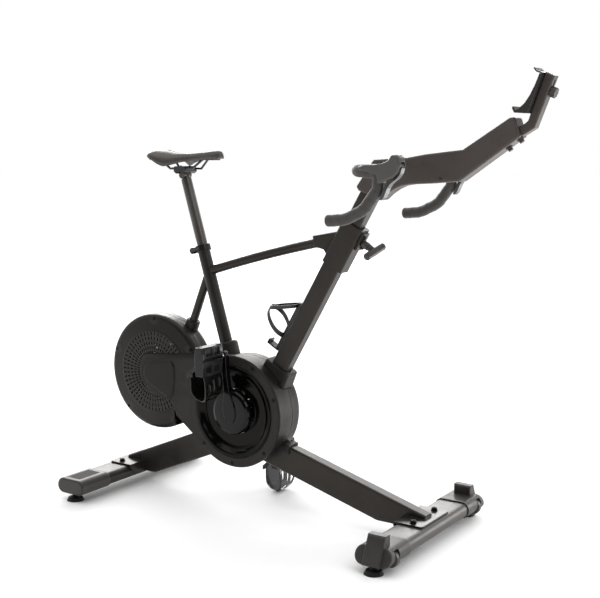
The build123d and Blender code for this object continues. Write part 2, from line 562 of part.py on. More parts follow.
for a in (-134.6, -91.3, -44.2, 20.1, 62.0):
    screws.append(panel_screw(154.5 * math.cos(math.radians(a)), Y_FRONT_R, BB_Z + 154.5 * math.sin(math.radians(a))))
for a in (89.6, 159.8, -132.0, -61.0, 29.8):
    screws.append(panel_screw(FLY_X + 166.0 * math.cos(math.radians(a)), Y_REAR_R + 4.4, FLY_Z + 166.0 * math.sin(math.radians(a))))
screw_holes = [cyl_y(s.center().X, s.center().Z, 3.6, -80, -40) for s in screws]
for nm in ("front_housing_right", "rear_housing_right"):
    sh = Part() + NODES[nm]
    for h in screw_holes:
        sh = sh - h
    NODES[nm] = [max(sh.solids(), key=lambda s: s.volume)]
put("fasteners", *bolts, *clamp_bolts, *screws)

# --------------------------------------------------------------- drive train
spindle = cyl_y(0, BB_Z, 12.0, -86.0, 88.0) - cyl_y(0, BB_Z, 8.0, -60.0, 89)
pulley = turn_y([(12.0, -52.0), (20.0, -52.0), (20.0, -46.5), (92.0, -46.5), (92.0, -51.6), (107.0, -51.6), (107.0, -50.4), (102.9, -50.2),
                 (102.9, -36.8), (107.0, -36.6), (107.0, -35.6), (92.0, -35.6), (92.0, -41.0), (20.0, -41.0), (20.0, -35.6), (12.0, -35.6)], 0, BB_Z)
for k in range(6):
    pulley = pulley - Pos(0, -44, BB_Z) * Rot(0, 60 * k, 0) * Pos(58, 0, 0) * Rot(90, 0, 0) * Cylinder(17.0, 20)
put("crank_pulley", pulley)

ca, sa = math.cos(math.radians(CRANK_DEG)), math.sin(math.radians(CRANK_DEG))
PED = (CRANK_L * ca, BB_Z + CRANK_L * sa)


def crank(sy):
    """Right crank for sy=-1, left crank for sy=+1 (opposite phase)."""
    ux, uz = (ca, sa) if sy < 0 else (-ca, -sa)
    px, pz = -uz, ux          # across the arm
    c = (0.0, BB_Z)
    def P(a, b):
        return (c[0] + ux * a + px * b, c[1] + uz * a + pz * b)
    # arm outline: wide at the hub, narrow at the pedal
    side = [(-30, 10), (-19, 18), (-4, 22.5), (14, 22.5), (30, 20), (44, 15.5), (58, 12), (76, 10.2), (110, 9.6), (140, 9.8), (156, 11.2), (170, 13.0)]
    pts = [P(a_, -b_) for a_, b_ in side]
    pts += [P(170 + 13.0 * math.sin(math.radians(t)), -13.0 * math.cos(math.radians(t))) for t in range(15, 166, 15)]
    pts += [P(a_, b_) for a_, b_ in side[::-1]]
    arm = slab(pts, 77.0, 92.0)
    arm = soften(arm, lambda s: s.faces().sort_by(Axis.Y)[-1].edges(), (3.0, 2.0, 1.0))
    disc = turn_y([(0, 62.0), (62.0, 62.0), (66.0, 65.0), (66.0, 79.0), (63.0, 84.0), (55.0, 87.0), (40.0, 88.0), (0, 88.0)], 0, BB_Z)
    out = arm + disc - cyl_y(0, BB_Z, 12.0, 50, 88.2)
    out = out - cyl_y(PED[0] if sy < 0 else -PED[0], PED[1] if sy < 0 else 2 * BB_Z - PED[1], 6.5, 70, 100)
    if sy < 0:
        out = mirror_y(out)
    return out


put("crank_arm_right", crank(-1) + spindle)
put("crank_arm_left", crank(1))
# pedal axles, screwed into the arms
PR = (PED[0], PED[1])
PL = (-PED[0], 2 * BB_Z - PED[1])


def pedal_axle(x, z, sy):
    a = cyl_y(x, z, 6.5, 77.0, 92.0) + cyl_y(x, z, 9.0, 92.0, 98.0) + cyl_y(x, z, 5.0, 98.0, 190.0)
    return mirror_y(a) if sy < 0 else a


put("pedal_axles", pedal_axle(PR[0], PR[1], -1), pedal_axle(PL[0], PL[1], 1))


def pedal(x, z, sy):
    """Pedal body hanging toe down: platform plane vertical, cage below it."""
    b = slab([(x - 12, z + 38), (x + 12, z + 38), (x + 15, z + 20), (x + 15, z - 20), (x + 12, z - 46), (x - 12, z - 46), (x - 15, z - 20), (x - 15, z + 20)],
             PEDAL_Y0, PEDAL_Y1)
    b = soften(b, lambda s: [e for e in s.edges() if e.length < 60], (4.0, 2.5))
    for zz in (z - 27, z + 22):
        b = b - box(x - 30, x + 30, 121, 146, zz - 11, zz + 11)
        b = b - box(x - 30, x + 30, 155, 184, zz - 11, zz + 11)
    b = b - cyl_y(x, z, 5.05, 90, 192.0)
    for s1 in (-1, 1):
        b = b - box(x + s1 * 16 - 4, x + s1 * 16 + 4, 108, 198, z - 4, z + 4)
    return mirror_y(b) if sy < 0 else b


def toe_clip(x, z, sy):
    """Moulded toe basket hanging below the pedal, curling rearward, and its strap."""
    path = [(x + 11, z - 46.8), (x + 16, z - 62), (x + 17, z - 86), (x + 12, z - 106), (x + 1, z - 119), (x - 13, z - 124.5), (x - 26, z - 117), (x - 34, z - 102), (x - 38, z - 84), (x - 40, z - 62), (x - 41, z - 36)]

    def offs(p, dd):
        out = []
        for i in range(len(p)):
            a, c = p[max(i - 1, 0)], p[min(i + 1, len(p) - 1)]
            tx, tz = c[0] - a[0], c[1] - a[1]
            ln = math.hypot(tx, tz)
            out.append((p[i][0] - tz / ln * dd, p[i][1] + tx / ln * dd))
        return out
    band = slab(offs(path, 1.8) + offs(path, -1.8)[::-1], 110, 196)
    ym = 153.0
    outline = [(ym - 38, z - 40), (ym + 38, z - 40), (ym + 40, z - 72), (ym + 37, z - 96), (ym + 28, z - 115), (ym + 13, z - 128), (ym - 13, z - 128), (ym - 28, z - 115), (ym - 37, z - 96), (ym - 40, z - 72)]
    outline2 = [(ym - 30, z - 30), (ym + 30, z - 30), (ym + 34, z - 60), (ym + 37, z - 96), (ym + 28, z - 115), (ym + 13, z - 128), (ym - 13, z - 128), (ym - 28, z - 115), (ym - 37, z - 96), (ym - 34, z - 60)]
    band = (band & slab_yz(outline, x - 8, x + 30)) + (band & slab_yz(outline2, x - 60, x - 8))
    # windows: two tapering at the front, an oval beside them, and a wide toe hole at the lower curve
    for y0_, y1_, y2_, y3_, zt_, zb_ in ((ym - 30, ym - 17, ym - 21, ym - 28, z - 55, z - 82), (ym - 1, ym + 9, ym + 5, ym - 4, z - 58, z - 92)):
        w = slab_yz([(y0_, zt_), (y1_, zt_), (y2_, zb_), (y3_, zb_)], x + 5, x + 30)
        band = band - soften(w, lambda q: q.edges().filter_by(Axis.X), (3.0, 2.0))
    w = slab_yz([(ym + 24 + 8.5 * math.cos(math.radians(t)), z - 84 + 16.0 * math.sin(math.radians(t))) for t in range(0, 360, 20)], x + 5, x + 30)
    band = band - w
    w = slab_yz([(ym - 6 + 16.0 * math.cos(math.radians(t)), z - 112 + 6.5 * math.sin(math.radians(t))) for t in range(0, 360, 20)], x - 3, x + 30)
    band = band - w
    # strap: a thin loop from the pedal's sides round the basket's upper edge
    y0, y1 = ym - 44.0, ym + 44.0
    strap = box(x - 46.4, x - 43.6, y0, y1, z - 54, z - 42)
    for yy in (y0, y1 - 2.2):
        strap = strap + slab([(x - 46.4, z - 42), (x - 46.4, z - 54), (x - 41, z - 54), (x - 15.4, z - 30), (x - 15.4, z - 17), (x - 19, z - 17)], yy, yy + 2.2)
    strap = strap + box(x - 17.6, x - 15.3, y0, y0 + 9.5, z - 29, z - 18) + box(x - 17.6, x - 15.3, y1 - 9.5, y1, z - 29, z - 18)
    strap = strap + box(x - 41, x - 22, y1, y1 + 3.0, z - 49, z - 37)
    strap = strap - band
    if sy < 0:
        band, strap = mirror_y(band), mirror_y(strap)
    return band, strap


put("pedal_right", pedal(PR[0], PR[1], -1))
put("pedal_left", pedal(PL[0], PL[1], 1))
put("toe_clip_right", *toe_clip(PR[0], PR[1], -1))
put("toe_clip_left", *toe_clip(PL[0], PL[1], 1))

# belt: open loop round both pulleys
d = math.hypot(FLY_X, FLY_Z - BB_Z)
base = math.degrees(math.atan2(FLY_Z - BB_Z, FLY_X))


def belt_outline(e):
    off = math.degrees(math.acos((R_CRANK_PULLEY - R_SMALL_PULLEY) / d))
    pts = arc_pts(FLY_X, FLY_Z, R_SMALL_PULLEY + e, base - off, base + off, 18)
    pts += arc_pts(0, BB_Z, R_CRANK_PULLEY + e, base + off, base - off + 360.0, 60)
    return pts


belt = slab(belt_outline(1.6), BELT_Y0 + 0.3, BELT_Y1 - 0.3) - slab(belt_outline(-1.6), BELT_Y0 - 1, BELT_Y1 + 1)
put("drive_belt", belt)

# ------------------------------------------------------------------- flywheel
fly = turn_y([(8.5, -22), (26, -22), (26, -15.5), (118, -15.5), (118, -20), (152, -20), (152, 7), (118, 7), (118, 2.5), (26, 2.5), (26, 9), (8.5, 9)], FLY_X, FLY_Z)
for k in range(6):
    fly = fly - Pos(FLY_X, -6, FLY_Z) * Rot(0, 60 * k, 0) * Pos(74, 0, 0) * Rot(90, 0, 0) * Cylinder(24.0, 40)
put("flywheel", fly)
small = turn_y([(8.5, -51.4), (23.5, -51.4), (23.5, -50.4), (19.0, -50.2), (19.0, -36.8), (23.5, -36.6), (23.5, -35.4), (12.0, -35.4), (12.0, -34.2), (8.5, -34.2)], FLY_X, FLY_Z)
axle = cyl_y(FLY_X, FLY_Z, 8.5, -51.6, 24.2)
put("flywheel_pulley_shaft", small + axle)
# bearing set: two in the crank shell, two in the flywheel hub
for y0 in (-33.0, 13.0):
    bearings.append(turn_y([(8.54, y0), (17.5, y0), (17.5, y0 + 8), (8.54, y0 + 8)], FLY_X, FLY_Z))
put("bearings", *bearings)


def side_plate(y0, y1, b0, b1):
    p = slab([(-26, 318), (-14, 283), (-60, 270), (-200, 318), (-345, 358), (-345, 392), (-325, 405), (-262, 462), (-236, 508), (-212, 508), (-203, 480), (-210, 440), (-232, 402), (-120, 372)], y0, y1)
    p = soften(p, lambda s: [e for e in s.edges().filter_by(Axis.Y)], (6.0, 4.0, 2.0))
    p = p + cyl_y(FLY_X, FLY_Z, 23.0, b0, b1) - cyl_y(FLY_X, FLY_Z, 17.5, min(b0, y0) - 1, max(b1, y1) + 1)
    p = p - bb_env - seat_tube_env - cyl_y(0, BB_Z, 12.3, -60, 60)
    return p


# the stay's foot: an arc block between the plates, just outside the flywheel
block = slab(arc_pts(FLY_X, FLY_Z, 155.0, 43.0, 60.0, 6) + arc_pts(FLY_X, FLY_Z, 171.0, 60.0, 43.0, 6), -33.0, 21.0)
plates = side_plate(17.0, 21.0, 13.0, 21.5) + side_plate(-33.0, -29.0, -33.5, -25.0)
rim_cut = (cyl_y(FLY_X, FLY_Z, 260.0, -40, 30) - cyl_y(FLY_X, FLY_Z, 171.0, -41, 31)) & box(-420, -150, -60, 60, 430, 700)
plates = (plates - rim_cut) + block - rod(ST0, ST1, 12.5)
put("flywheel_plates", max(plates.solids(), key=lambda q: q.volume))


def carrier():
    """Horseshoe that carries the brake magnets round the flywheel's rim."""
    o = []
    for rr_, yy in ((154.0, 0), (165.0, 0)):
        o.append(arc_pts(FLY_X, FLY_Z, rr_, 150, 215, 14))
    back = slab(o[0] + o[1][::-1], -24, 11)
    o = []
    for rr_ in (126.0, 154.0):
        o.append(arc_pts(FLY_X, FLY_Z, rr_, 150, 210, 14))
    s1 = slab(o[0] + o[1][::-1], -24.0, -21.2)
    s2 = slab(o[0] + o[1][::-1], 8.2, 11.0)
    c = back + s1 + s2
    # pivot eye
    px_, pz_ = FLY_X + 160 * math.cos(math.radians(215)), FLY_Z + 160 * math.sin(math.radians(215))
    c = c + cyl_y(px_, pz_, 7.0, -24, 11) - cyl_y(px_, pz_, 3.05, -30, 20)
    return c, (px_, pz_)


car, PIV = carrier()
put("magnet_carrier", car)
pivot_pin = cyl_y(PIV[0], PIV[1], 3.0, -47.8, 23.8)
put("pivot_pins", pivot_pin, *wheel_pins)

# ---------------------------------------------------------------- seat group
ax = Vector(-SEAT_TAN, 0, 1).normalized()
SEAT = Plane(origin=seat_pt(762.0), x_dir=(ax.Z, 0, -ax.X), z_dir=tuple(ax))


def seat_box(x0, x1, y0, y1, z0, z1):
    return SEAT * box(x0, x1, y0, y1, z0, z1)


CEAR = -29.5              # the clamp screw, behind the tube
collar = SEAT * Cylinder(23.0, 20.0)
collar = soften(collar, lambda s: s.edges().filter_by(GeomType.CIRCLE), (1.5, 0.8))
collar = collar + seat_box(CEAR - 10.5, -12, -9, 9, -8.5, 8.5)
collar = collar - rod(seat_pt(735), seat_pt(757.0), SEAT_TUBE_D / 2) - rod(seat_pt(730), seat_pt(790), POST_D / 2 + 0.6)
collar = collar - seat_box(CEAR - 8, -8, -1.5, 1.5, -12, 12)
collar = collar - SEAT * cyl_y(CEAR, 0, 3.1, -20, 20)
skewer = cyl_y(CEAR, 0, 3.0, -10.0, 14.0) + cyl_y(CEAR, 0, 5.5, 9.1, 14.0)
LY = -18.0                # lever eye, just outside the fork's web
lever = cyl_z(CEAR, LY, 6.0, -6.3, 6.3) + slab([(CEAR, 4.5), (CEAR, -4.5), (CEAR + 34, -4.5), (CEAR + 38, 0), (CEAR + 34, 4.5)], LY - 11.5, LY - 6.5) + box(CEAR - 3, CEAR + 6, LY - 9, LY - 3, -4.5, 4.5)
lever = soften(lever, lambda s: [e for e in s.edges().filter_by(Axis.Y) if e.center().X > CEAR + 20], (2.0, 1.0))
lever = lever - cyl_z(CEAR, LY, 2.05, -8, 8)
put("seat_lever", SEAT * lever)
skewer = skewer + cyl_z(CEAR, LY, 2.0, -9, 9) + box(CEAR - 4, CEAR + 4, LY - 4, -9.1, 6.8, 9) + box(CEAR - 4, CEAR + 4, LY - 4, -9.1, -9, -6.8) \
    + box(CEAR - 4, CEAR + 4, -11.4, -9.1, -9, 9)
collar = collar - seat_box(CEAR - 7, CEAR + 7, -30, -9.05, -14, 14) - seat_box(CEAR - 7, CEAR + 7, 9.05, 30, -14, 14)
put("seat_collar", max(collar.solids(), key=lambda q: q.volume), SEAT * skewer)

HX, HZ = seat_x(980.0), 980.0
post = tube(seat_pt(602), seat_pt(961), POST_D / 2, POST_D / 2 - 2.0)
neck = rod(seat_pt(955), seat_pt(979), 12.5)
headc = cyl_y(HX, HZ, 11.0, -17, 17)
post = post + rod(seat_pt(950), seat_pt(969), POST_D / 2) + neck + headc
put("seatpost", post)

RAIL_Z, RAIL_Y = 999.0, 22.0
cr = slab([(HX - 21.5, 998.9), (HX + 21.5, 998.9), (HX + 21.5, 990), (HX + 13, 984), (HX - 13, 984), (HX - 21.5, 990)], -28, 28)
cr = soften(cr, lambda s: [e for e in s.edges().filter_by(Axis.Y)], (2.0, 1.0))
cr = cr - cyl_y(HX, HZ, 11.05, -60, 60) - rod((HX, 0, HZ), tuple(Vector(HX, 0, HZ) - ax * 60), 15.0)
for sy in (-1, 1):
    cr = cr - Pos(HX, sy * RAIL_Y, RAIL_Z) * Rot(0, 90, 0) * Cylinder(3.55, 90)
top = slab([(HX - 21.5, 999.1), (HX + 21.5, 999.1), (HX + 21.5, 1003), (HX + 17, 1006), (HX - 17, 1006), (HX - 21.5, 1003)], -28, 28)
for sy in (-1, 1):
    top = top - Pos(HX, sy * RAIL_Y, RAIL_Z) * Rot(0, 90, 0) * Cylinder(3.55, 90)
cbolts = []
for bx in (HX - 17.0, HX + 17.0):
    cr = cr - cyl_z(bx, 0, 3.1, 970, 1010)
    top = top - cyl_z(bx, 0, 3.1, 990, 1012)
cr2 = cr
for bx in (HX - 17.0, HX + 17.0):
    cr2 = cr2 - cyl_z(bx, 0, 4.2, 970, 989.5)
cbolts = [cyl_z(bx, 0, 3.0, 989, 1008.0) + cyl_z(bx, 0, 4.0, 985.0, 989.5) for bx in (HX - 17.0, HX + 17.0)]
put("saddle_clamp", cr2, top, *cbolts)


def rail(sy):
    a, b = (-266, sy * RAIL_Y, RAIL_Z), (-182, sy * RAIL_Y, RAIL_Z)
    out = rod(a, b, 3.5)
    out = out + rod(a, (-298, sy * 33, 1027.0), 3.5) + Pos(*a) * Sphere(3.5)
    out = out + rod(b, (-148, sy * 12, 1027.0), 3.5) + Pos(*b) * Sphere(3.5)
    return out


SX = [(-85, 0), (-88, 12), (-105, 18), (-150, 22), (-190, 29), (-225, 42), (-255, 60), (-280, 70), (-305, 72), (-325, 66), (-336, 48), (-333, 25), (-330, 0)]
half = SX
plan = [(x, y) for x, y in half] + [(x, -y) for x, y in half[::-1][1:-1]]


def plan_slab(z0, z1, d=0.0):
    cxm, n = -220.0, len(plan)
    w = Wire.make_polygon([Vector(x, y, z0) for x, y in plan], close=True)
    f = Face(w)
    return Part() + Solid.extrude(f, Vector(0, 0, z1 - z0))


side_top = [(-342, 1044), (-330, 1049), (-300, 1050.5), (-246, 1043), (-208, 1042.5), (-140, 1047), (-101, 1050), (-88, 1047), (-83.5, 1040)]
side_bot = [(-84, 1032), (-90, 1029.5), (-170, 1024), (-215, 1017), (-247, 1007), (-262, 1004.5), (-285, 1005), (-318, 1022), (-342, 1038)]
saddle_full = slab(side_top + side_bot, -80, 80) & plan_slab(1000, 1060)
shell_cut = slab([(-400, 990), (-400, 1027.2), (-170, 1027.2), (-70, 1032.0), (-70, 990)], -90, 90)
pad = saddle_full - shell_cut
pad = soften(pad, lambda s: [e for e in s.edges() if e.center().Z > 1041 and e.length > 3], (5.0, 3.0, 2.0))
base_full = (saddle_full & shell_cut) - box(-400, -60, -44, 44, 990, 1024.2)
base_full = Pos(0, 0, -0.3) * base_full
base_main = max(base_full.solids(), key=lambda s: s.volume)
rails = []
shell_node = Part() + base_full.solids()
shell_plate = (Part() + plan_slab(1024.2, 1026.9)) & box(-334, -104, -80, 80, 1000, 1030)
shell_node = shell_node + shell_plate
shell_node = (shell_node & plan_slab(1000, 1026.9)) - [rail(1), rail(-1)]
rail_solids = [rail(1), rail(-1)]
rail_solids = [r - box(-400, -60, -90, 90, 1024.15, 1060) for r in rail_solids]
put("saddle_rails", *rail_solids)
put("saddle_base", shell_node)
pad = pad & plan_slab(1026.95, 1060)
put("saddle_pad", pad)

# ------------------------------------------------------------- mast and boom
mast = col_box(-24.42, 24.42, -17.42, 17.42, 60, 440, 5.4) - col_box(-21.9, 21.9, -14.9, 14.9, 59, 430, 3.0)
put("mast", mast)
boom_pts = [(384, 957), (436, 1028.5), (536, 1034.2), (591, 1043.4), (694.5, 1055), (818, 1132.3), (832.5, 1134), (848.5, 1086.5),
            (688, 975), (609, 968.5), (545, 965), (520, 960.5), (499, 951.5), (477, 937.5), (458, 921), (392, 946)]
BOOM_W = 26.0
boom = slab(boom_pts, -BOOM_W, BOOM_W)
boom = soften(boom, lambda s: [e for e in s.edges().filter_by(Axis.Y) if e.center().Z > 1080 or e.center().X < 470], (7.0, 5.0, 3.0))
boom = soften(boom, lambda s: [e for e in s.edges() if abs(abs(e.center().Y) - BOOM_W) < 0.05], (7.0, 5.0, 3.0, 2.0))
mast_env = col_box(-24.45, 24.45, -17.45, 17.45, 300, 441, 5.4)
cav_pts = [(440, 975), (452, 1022), (536, 1027), (594, 1037), (692, 1048), (800, 1116), (812, 1072), (684, 983), (608, 976), (537, 972), (500, 970)]
cav = slab(cav_pts, -BOOM_W + 3, BOOM_W - 3)
boom = boom - mast_env - cav
bar_hole = cyl_y(BAR_X, BAR_Z, 15.9, -40, 40)
bar_seat = cyl_y(BAR_X, BAR_Z, 21.0, -BOOM_W + 3, BOOM_W - 3)
boom = (boom + (bar_seat & slab(boom_pts, -BOOM_W, BOOM_W))) - bar_hole
split = slab([(380, 1000.2), (587.3, 1011.2), (587.3, 1100), (380, 1100)], -60, 60)
lid_zone = slab([(380, 1000.6), (587.0, 1011.6), (587.0, 1100), (380, 1100)], -60, 60)
cap_full = boom & lid_zone
boom = boom - split
boom = boom - mast_env
# recessed side bolt, both sides
for s1 in (-1, 1):
    boom = boom - cyl_y(636.2, 982.6, 4.3, s1 * (BOOM_W - 1.6), s1 * (BOOM_W + 2))
    boom = boom - Pos(636.2, s1 * (BOOM_W - 1.9), 982.6) * Rot(90, 0, 0) * extrude(RegularPolygon(2.2, 6), 0.7, both=True)
put("boom", max(boom.solids(), key=lambda s: s.volume))
put("boom_clamp_cover", max(cap_full.solids(), key=lambda s: s.volume) - mast_env)

# tablet post (square tube, bent once), held in the boom's nose
tpost = slab([(822, 1104.5), (848.5, 1113.5), (862.5, 1124.5), (904.0, 1240.0), (927.5, 1229.5), (880.0, 1106.0), (848.0, 1087.5), (833, 1077)], -15, 15)
tpost = soften(tpost, lambda s: [e for e in s.edges() if abs(abs(e.center().Y) - 15.0) < 0.05], (4.0, 2.5, 1.5))
slot_in = slab([(700, 1060), (822, 1104.8), (848.8, 1113.8), (852, 1090), (848.2, 1087.2), (832, 1076.2), (790, 1040)], -15.1, 15.1)
tp_env = slab([(821.7, 1104.8), (848.5, 1113.8), (862.5, 1124.8), (870, 1100), (848.2, 1087.2), (832.7, 1076.7)], -15.1, 15.1)
NODES["boom"] = [max(((Part() + NODES["boom"]) - tp_env).solids(), key=lambda s: s.volume)]
put("tablet_post", tpost)
# two clamp bolts under the nose and their washers
nb = []
vx, vz = 0.5706, -0.8213        # outward normal of the underside
for bx in (811.0, 840.0):
    bz = 975.0 + (bx - 688.0) * 111.5 / 160.5
    q = (bx + vx * 9.5, 0, bz + vz * 9.5)
    nb.append(rod((bx + vx * 0.1, 0, bz + vz * 0.1), q, 6.5) + rod((bx + vx * 0.1, 0, bz + vz * 0.1), (bx + vx * 2.5, 0, bz + vz * 2.5), 9.0))

# tablet rest: its frame runs along the post
tdx, tdz = 41.5, 115.5
L = math.hypot(tdx, tdz)
TU = (tdx / L, tdz / L)                 # up the post
TN = (-TU[1], TU[0])                    # towards the rider
T0 = (862.5, 1124.5)


def tp(u, n):
    return (T0[0] + TU[0] * u + TN[0] * n, T0[1] + TU[1] * u + TN[1] * n)


rest_prof = [tp(18, 0.4), tp(116, 0.4), tp(116, 6.5), tp(88, 7.5), tp(60, 11), tp(38, 17), tp(22, 26), tp(14, 33), tp(22, 41), tp(20.5, 43.5), tp(16, 42), tp(8.5, 33.5), tp(12, 24)]
rest = slab(rest_prof, -32, 32)
rest = soften(rest, lambda s: [e for e in s.edges() if abs(abs(e.center().Y) - 32.0) < 0.05], (1.2, 0.8))
groove = slab([tp(30, -5), tp(130, -5), tp(130, 4.0), tp(30, 4.0)], -9.0, 9.0)
rest = rest - groove
put("tablet_rest", rest)
jaw = slab([tp(60, 0.45), tp(116.4, 0.45), tp(116.4, 3.4), tp(60, 3.4)], -8.6, 8.6)
hook = slab([tp(116.4, 0.45), tp(119.6, 0.45), tp(119.6, 17), tp(124.5, 26), tp(122.2, 27.6), tp(116.4, 17.5)], -26, 26)
jaw = jaw + hook
NODES["tablet_post"] = [max(((Part() + NODES["tablet_post"]) - slab([tp(79.2, -40), tp(84, -40), tp(84, 10), tp(79.2, 10)], -3.1, 3.1)
                             - slab([tp(84, -40), tp(112, -40), tp(112, 10), tp(84, 10)], -3.1, 3.1)).solids(), key=lambda s: s.volume)]
NODES["tablet_post"] = NODES["tablet_post"] + [q for b in nb for q in b.solids()]
jaw = jaw + rod((tp(82.5, -24.0)[0], 0, tp(82.5, -24.0)[1]), (tp(82.5, 1.0)[0], 0, tp(82.5, 1.0)[1]), 2.9)
jaw = jaw + rod((tp(82.5, -38.0)[0], 0, tp(82.5, -38.0)[1]), (tp(82.5, -23.0)[0], 0, tp(82.5, -23.0)[1]), 2.9)
put("tablet_jaw", jaw)
k = rod((tp(82.5, -26.4)[0], 0, tp(82.5, -26.4)[1]), (tp(82.5, -39.5)[0], 0, tp(82.5, -39.5)[1]), 13.0)
for i in range(8):
    a = math.radians(45 * i + 22.5)
    c0 = tp(82.5 + 14.6 * math.cos(a), -25)
    c1 = tp(82.5 + 14.6 * math.cos(a), -41)
    k = k - rod((c0[0], 14.6 * math.sin(a), c0[1]), (c1[0], 14.6 * math.sin(a), c1[1]), 3.6)
k = k - rod((tp(82.5, -20)[0], 0, tp(82.5, -20)[1]), (tp(82.5, -38.2)[0], 0, tp(82.5, -38.2)[1]), 2.95)
put("tablet_knob", k)

# ---------------------------------------------------------------- handlebar
PATH = [(BAR_X, -BAR_HALF, BAR_Z), (556.0, -BAR_HALF, 999.0), (557.0, -BAR_HALF, 958.0), (516.0, -BAR_HALF, 906.0), (462.0, -BAR_HALF, 880.0), (409.5, -BAR_HALF, 875.5)]


def bar_path(sy, start_y=0.0):
    pts = [(BAR_X, start_y, BAR_Z)] + [(x, y, z) for x, y, z in PATH]
    pts = [(x, y * -sy if sy > 0 else y, z) for x, y, z in pts]
    return FilletPolyline(*[Vector(*p) for p in pts], radius=(42.0, 19.0, 30.0, 60.0, 80.0))


def sweep_round(path, r):
    w = path.wire() if hasattr(path, "wire") else path
    pl = Plane(origin=w @ 0, z_dir=w % 0)
    return Part() + sweep(pl * Circle(r), path=w)


bars = []
try:
    path_r = bar_path(-1)
    bar_r = sweep_round(path_r, 12.0)
except Exception as ex:
    print("handlebar sweep failed", ex)
    raise
bar_l = mirror_y(bar_r)
bar = bar_r + bar_l + cyl_y(BAR_X, BAR_Z, 15.85, -42, 42)
put("handlebar", bar)

# grip tape: a sleeve over each half, from near the boom to the drop's end
tape_full = sweep_round(path_r, 15.6)
tape = tape_full - sweep_round(path_r, 12.0) - box(BAR_X - 60, BAR_X + 60, -62.0, 62.0, BAR_Z - 60, BAR_Z + 60)
put("bar_tape", tape, mirror_y(tape))


def hood(sy):
    """Rubber lever hood standing on the bar's ramp."""
    y = BAR_HALF
    pts = [(505, 1013), (524, 1018.5), (552, 1019), (575, 1023), (590, 1029), (598, 1042), (614, 1043), (623, 1036), (627, 1018),
           (618, 998), (604, 986), (586, 979), (570, 973), (560, 968), (556, 990), (535, 996), (510, 999)]
    b = slab(pts, y - 16.5, y + 16.5)
    b = soften(b, lambda s: [e for e in s.edges().filter_by(Axis.Y) if e.center().X > 580], (4.0, 2.0))
    b = soften(b, lambda s: [e for e in s.edges() if abs(abs(e.center().Y - y) - 16.5) < 0.05], (6.0, 4.0, 2.0))
    return b


hood_r = mirror_y(hood(-1)) - tape_full
lever_slot = slab([(570, 950), (650, 950), (650, 1025.5), (611.3, 1025.5), (610.3, 1014), (604, 1005.5), (595.5, 1003), (588.5, 991), (579, 983)],
                  -BAR_HALF - 9.5, -BAR_HALF + 9.5)
hood_r = hood_r - lever_slot
hood_r = max(hood_r.solids(), key=lambda s: s.volume)
put("lever_hoods", hood_r, mirror_y(Part() + hood_r))


def brake_lever(sy):
    y = BAR_HALF
    pts = [(618, 1024), (624, 1018), (626.5, 1010), (623, 998), (614, 986), (603, 978.5), (594, 971), (587, 961), (582, 949), (576.5, 938), (570, 932), (564.5, 933.5),
           (568.5, 942), (574.5, 954), (578.5, 966), (583.5, 978), (592.5, 988), (598.5, 999.5), (606, 1002.5), (612.3, 1011.5), (613.3, 1021)]
    b = slab(pts, y - 20, y + 20)
    # seen from the front the blade widens below the hood
    b = b & slab_yz([(y - 8.5, 1040), (y - 8.5, 978), (y - 10.0, 956), (y - 9.0, 936), (y - 5.0, 920), (y + 5.0, 920), (y + 9.0, 936), (y + 10.0, 956),
                     (y + 8.5, 978), (y + 8.5, 1040)], 540, 650)
    b = max(b.solids(), key=lambda q: q.volume)
    return soften(Part() + b, lambda s: [e for e in s.edges() if e.length > 3 and e.center().Z < 982
                                         and abs(((e @ 1) - (e @ 0)).normalized().Y) < 0.8], (3.0, 2.0, 1.2, 0.8))


LEV = (603.0, 992.0)
lev = brake_lever(1) + cyl_y(LEV[0], LEV[1], 3.0, BAR_HALF - 13.0, BAR_HALF + 13.0)
put("brake_lever_left", lev)
put("brake_lever_right", mirror_y(lev))
hn = Part() + NODES["lever_hoods"]
hn = hn - cyl_y(LEV[0], LEV[1], 3.05, BAR_HALF - 13.3, BAR_HALF + 13.3) - cyl_y(LEV[0], LEV[1], 3.05, -BAR_HALF - 13.3, -BAR_HALF + 13.3)
NODES["lever_hoods"] = hn.solids()

# ----------------------------------------------------------- clamp T handle
hs = COL * Pos(52.5, 0, 262) * Rot(0, 90, 0) * Cylinder(6.0, 55.0)
hc = COL * Pos(58.0, 0, 262) * Rot(0, 90, 0) * Cylinder(10.5, 17.0)
hk = COL * Pos(82.0, 0, 262) * Rot(0, 90, 0) * Cylinder(9.5, 30.0)
tb = COL * Pos(90.0, 0, 262) * Rot(24, 0, 0) * Rot(90, 0, 0) * Cylinder(10.5, 75.0)
tb = soften(tb, lambda s: s.edges().filter_by(GeomType.CIRCLE), (4.0, 2.0))
hand = hs + hc + hk + tb
hand = hand - COL * Pos(20, 0, 262) * Box(9.9, 30, 30)
put("clamp_handle", hand)

# ---------------------------------------------------------------- bottle cage
BC = -76.0                # bottle axis, behind the column


def tilted(a, b, h):
    """Slab of height h across the column, its mid-plane through (lx, t) points a and b."""
    dx, dt = b[0] - a[0], b[1] - a[1]
    ln = math.hypot(dx, dt)
    ux, ut = dx / ln, dt / ln
    c = []
    for k, e in ((-60.0, -h / 2), (ln + 60.0, -h / 2), (ln + 60.0, h / 2), (-60.0, h / 2)):
        c.append(col_pt(a[1] + ut * k + ux * e, a[0] + ux * k - ut * e))
    return slab([(q[0], q[2]) for q in c], -60, 60)


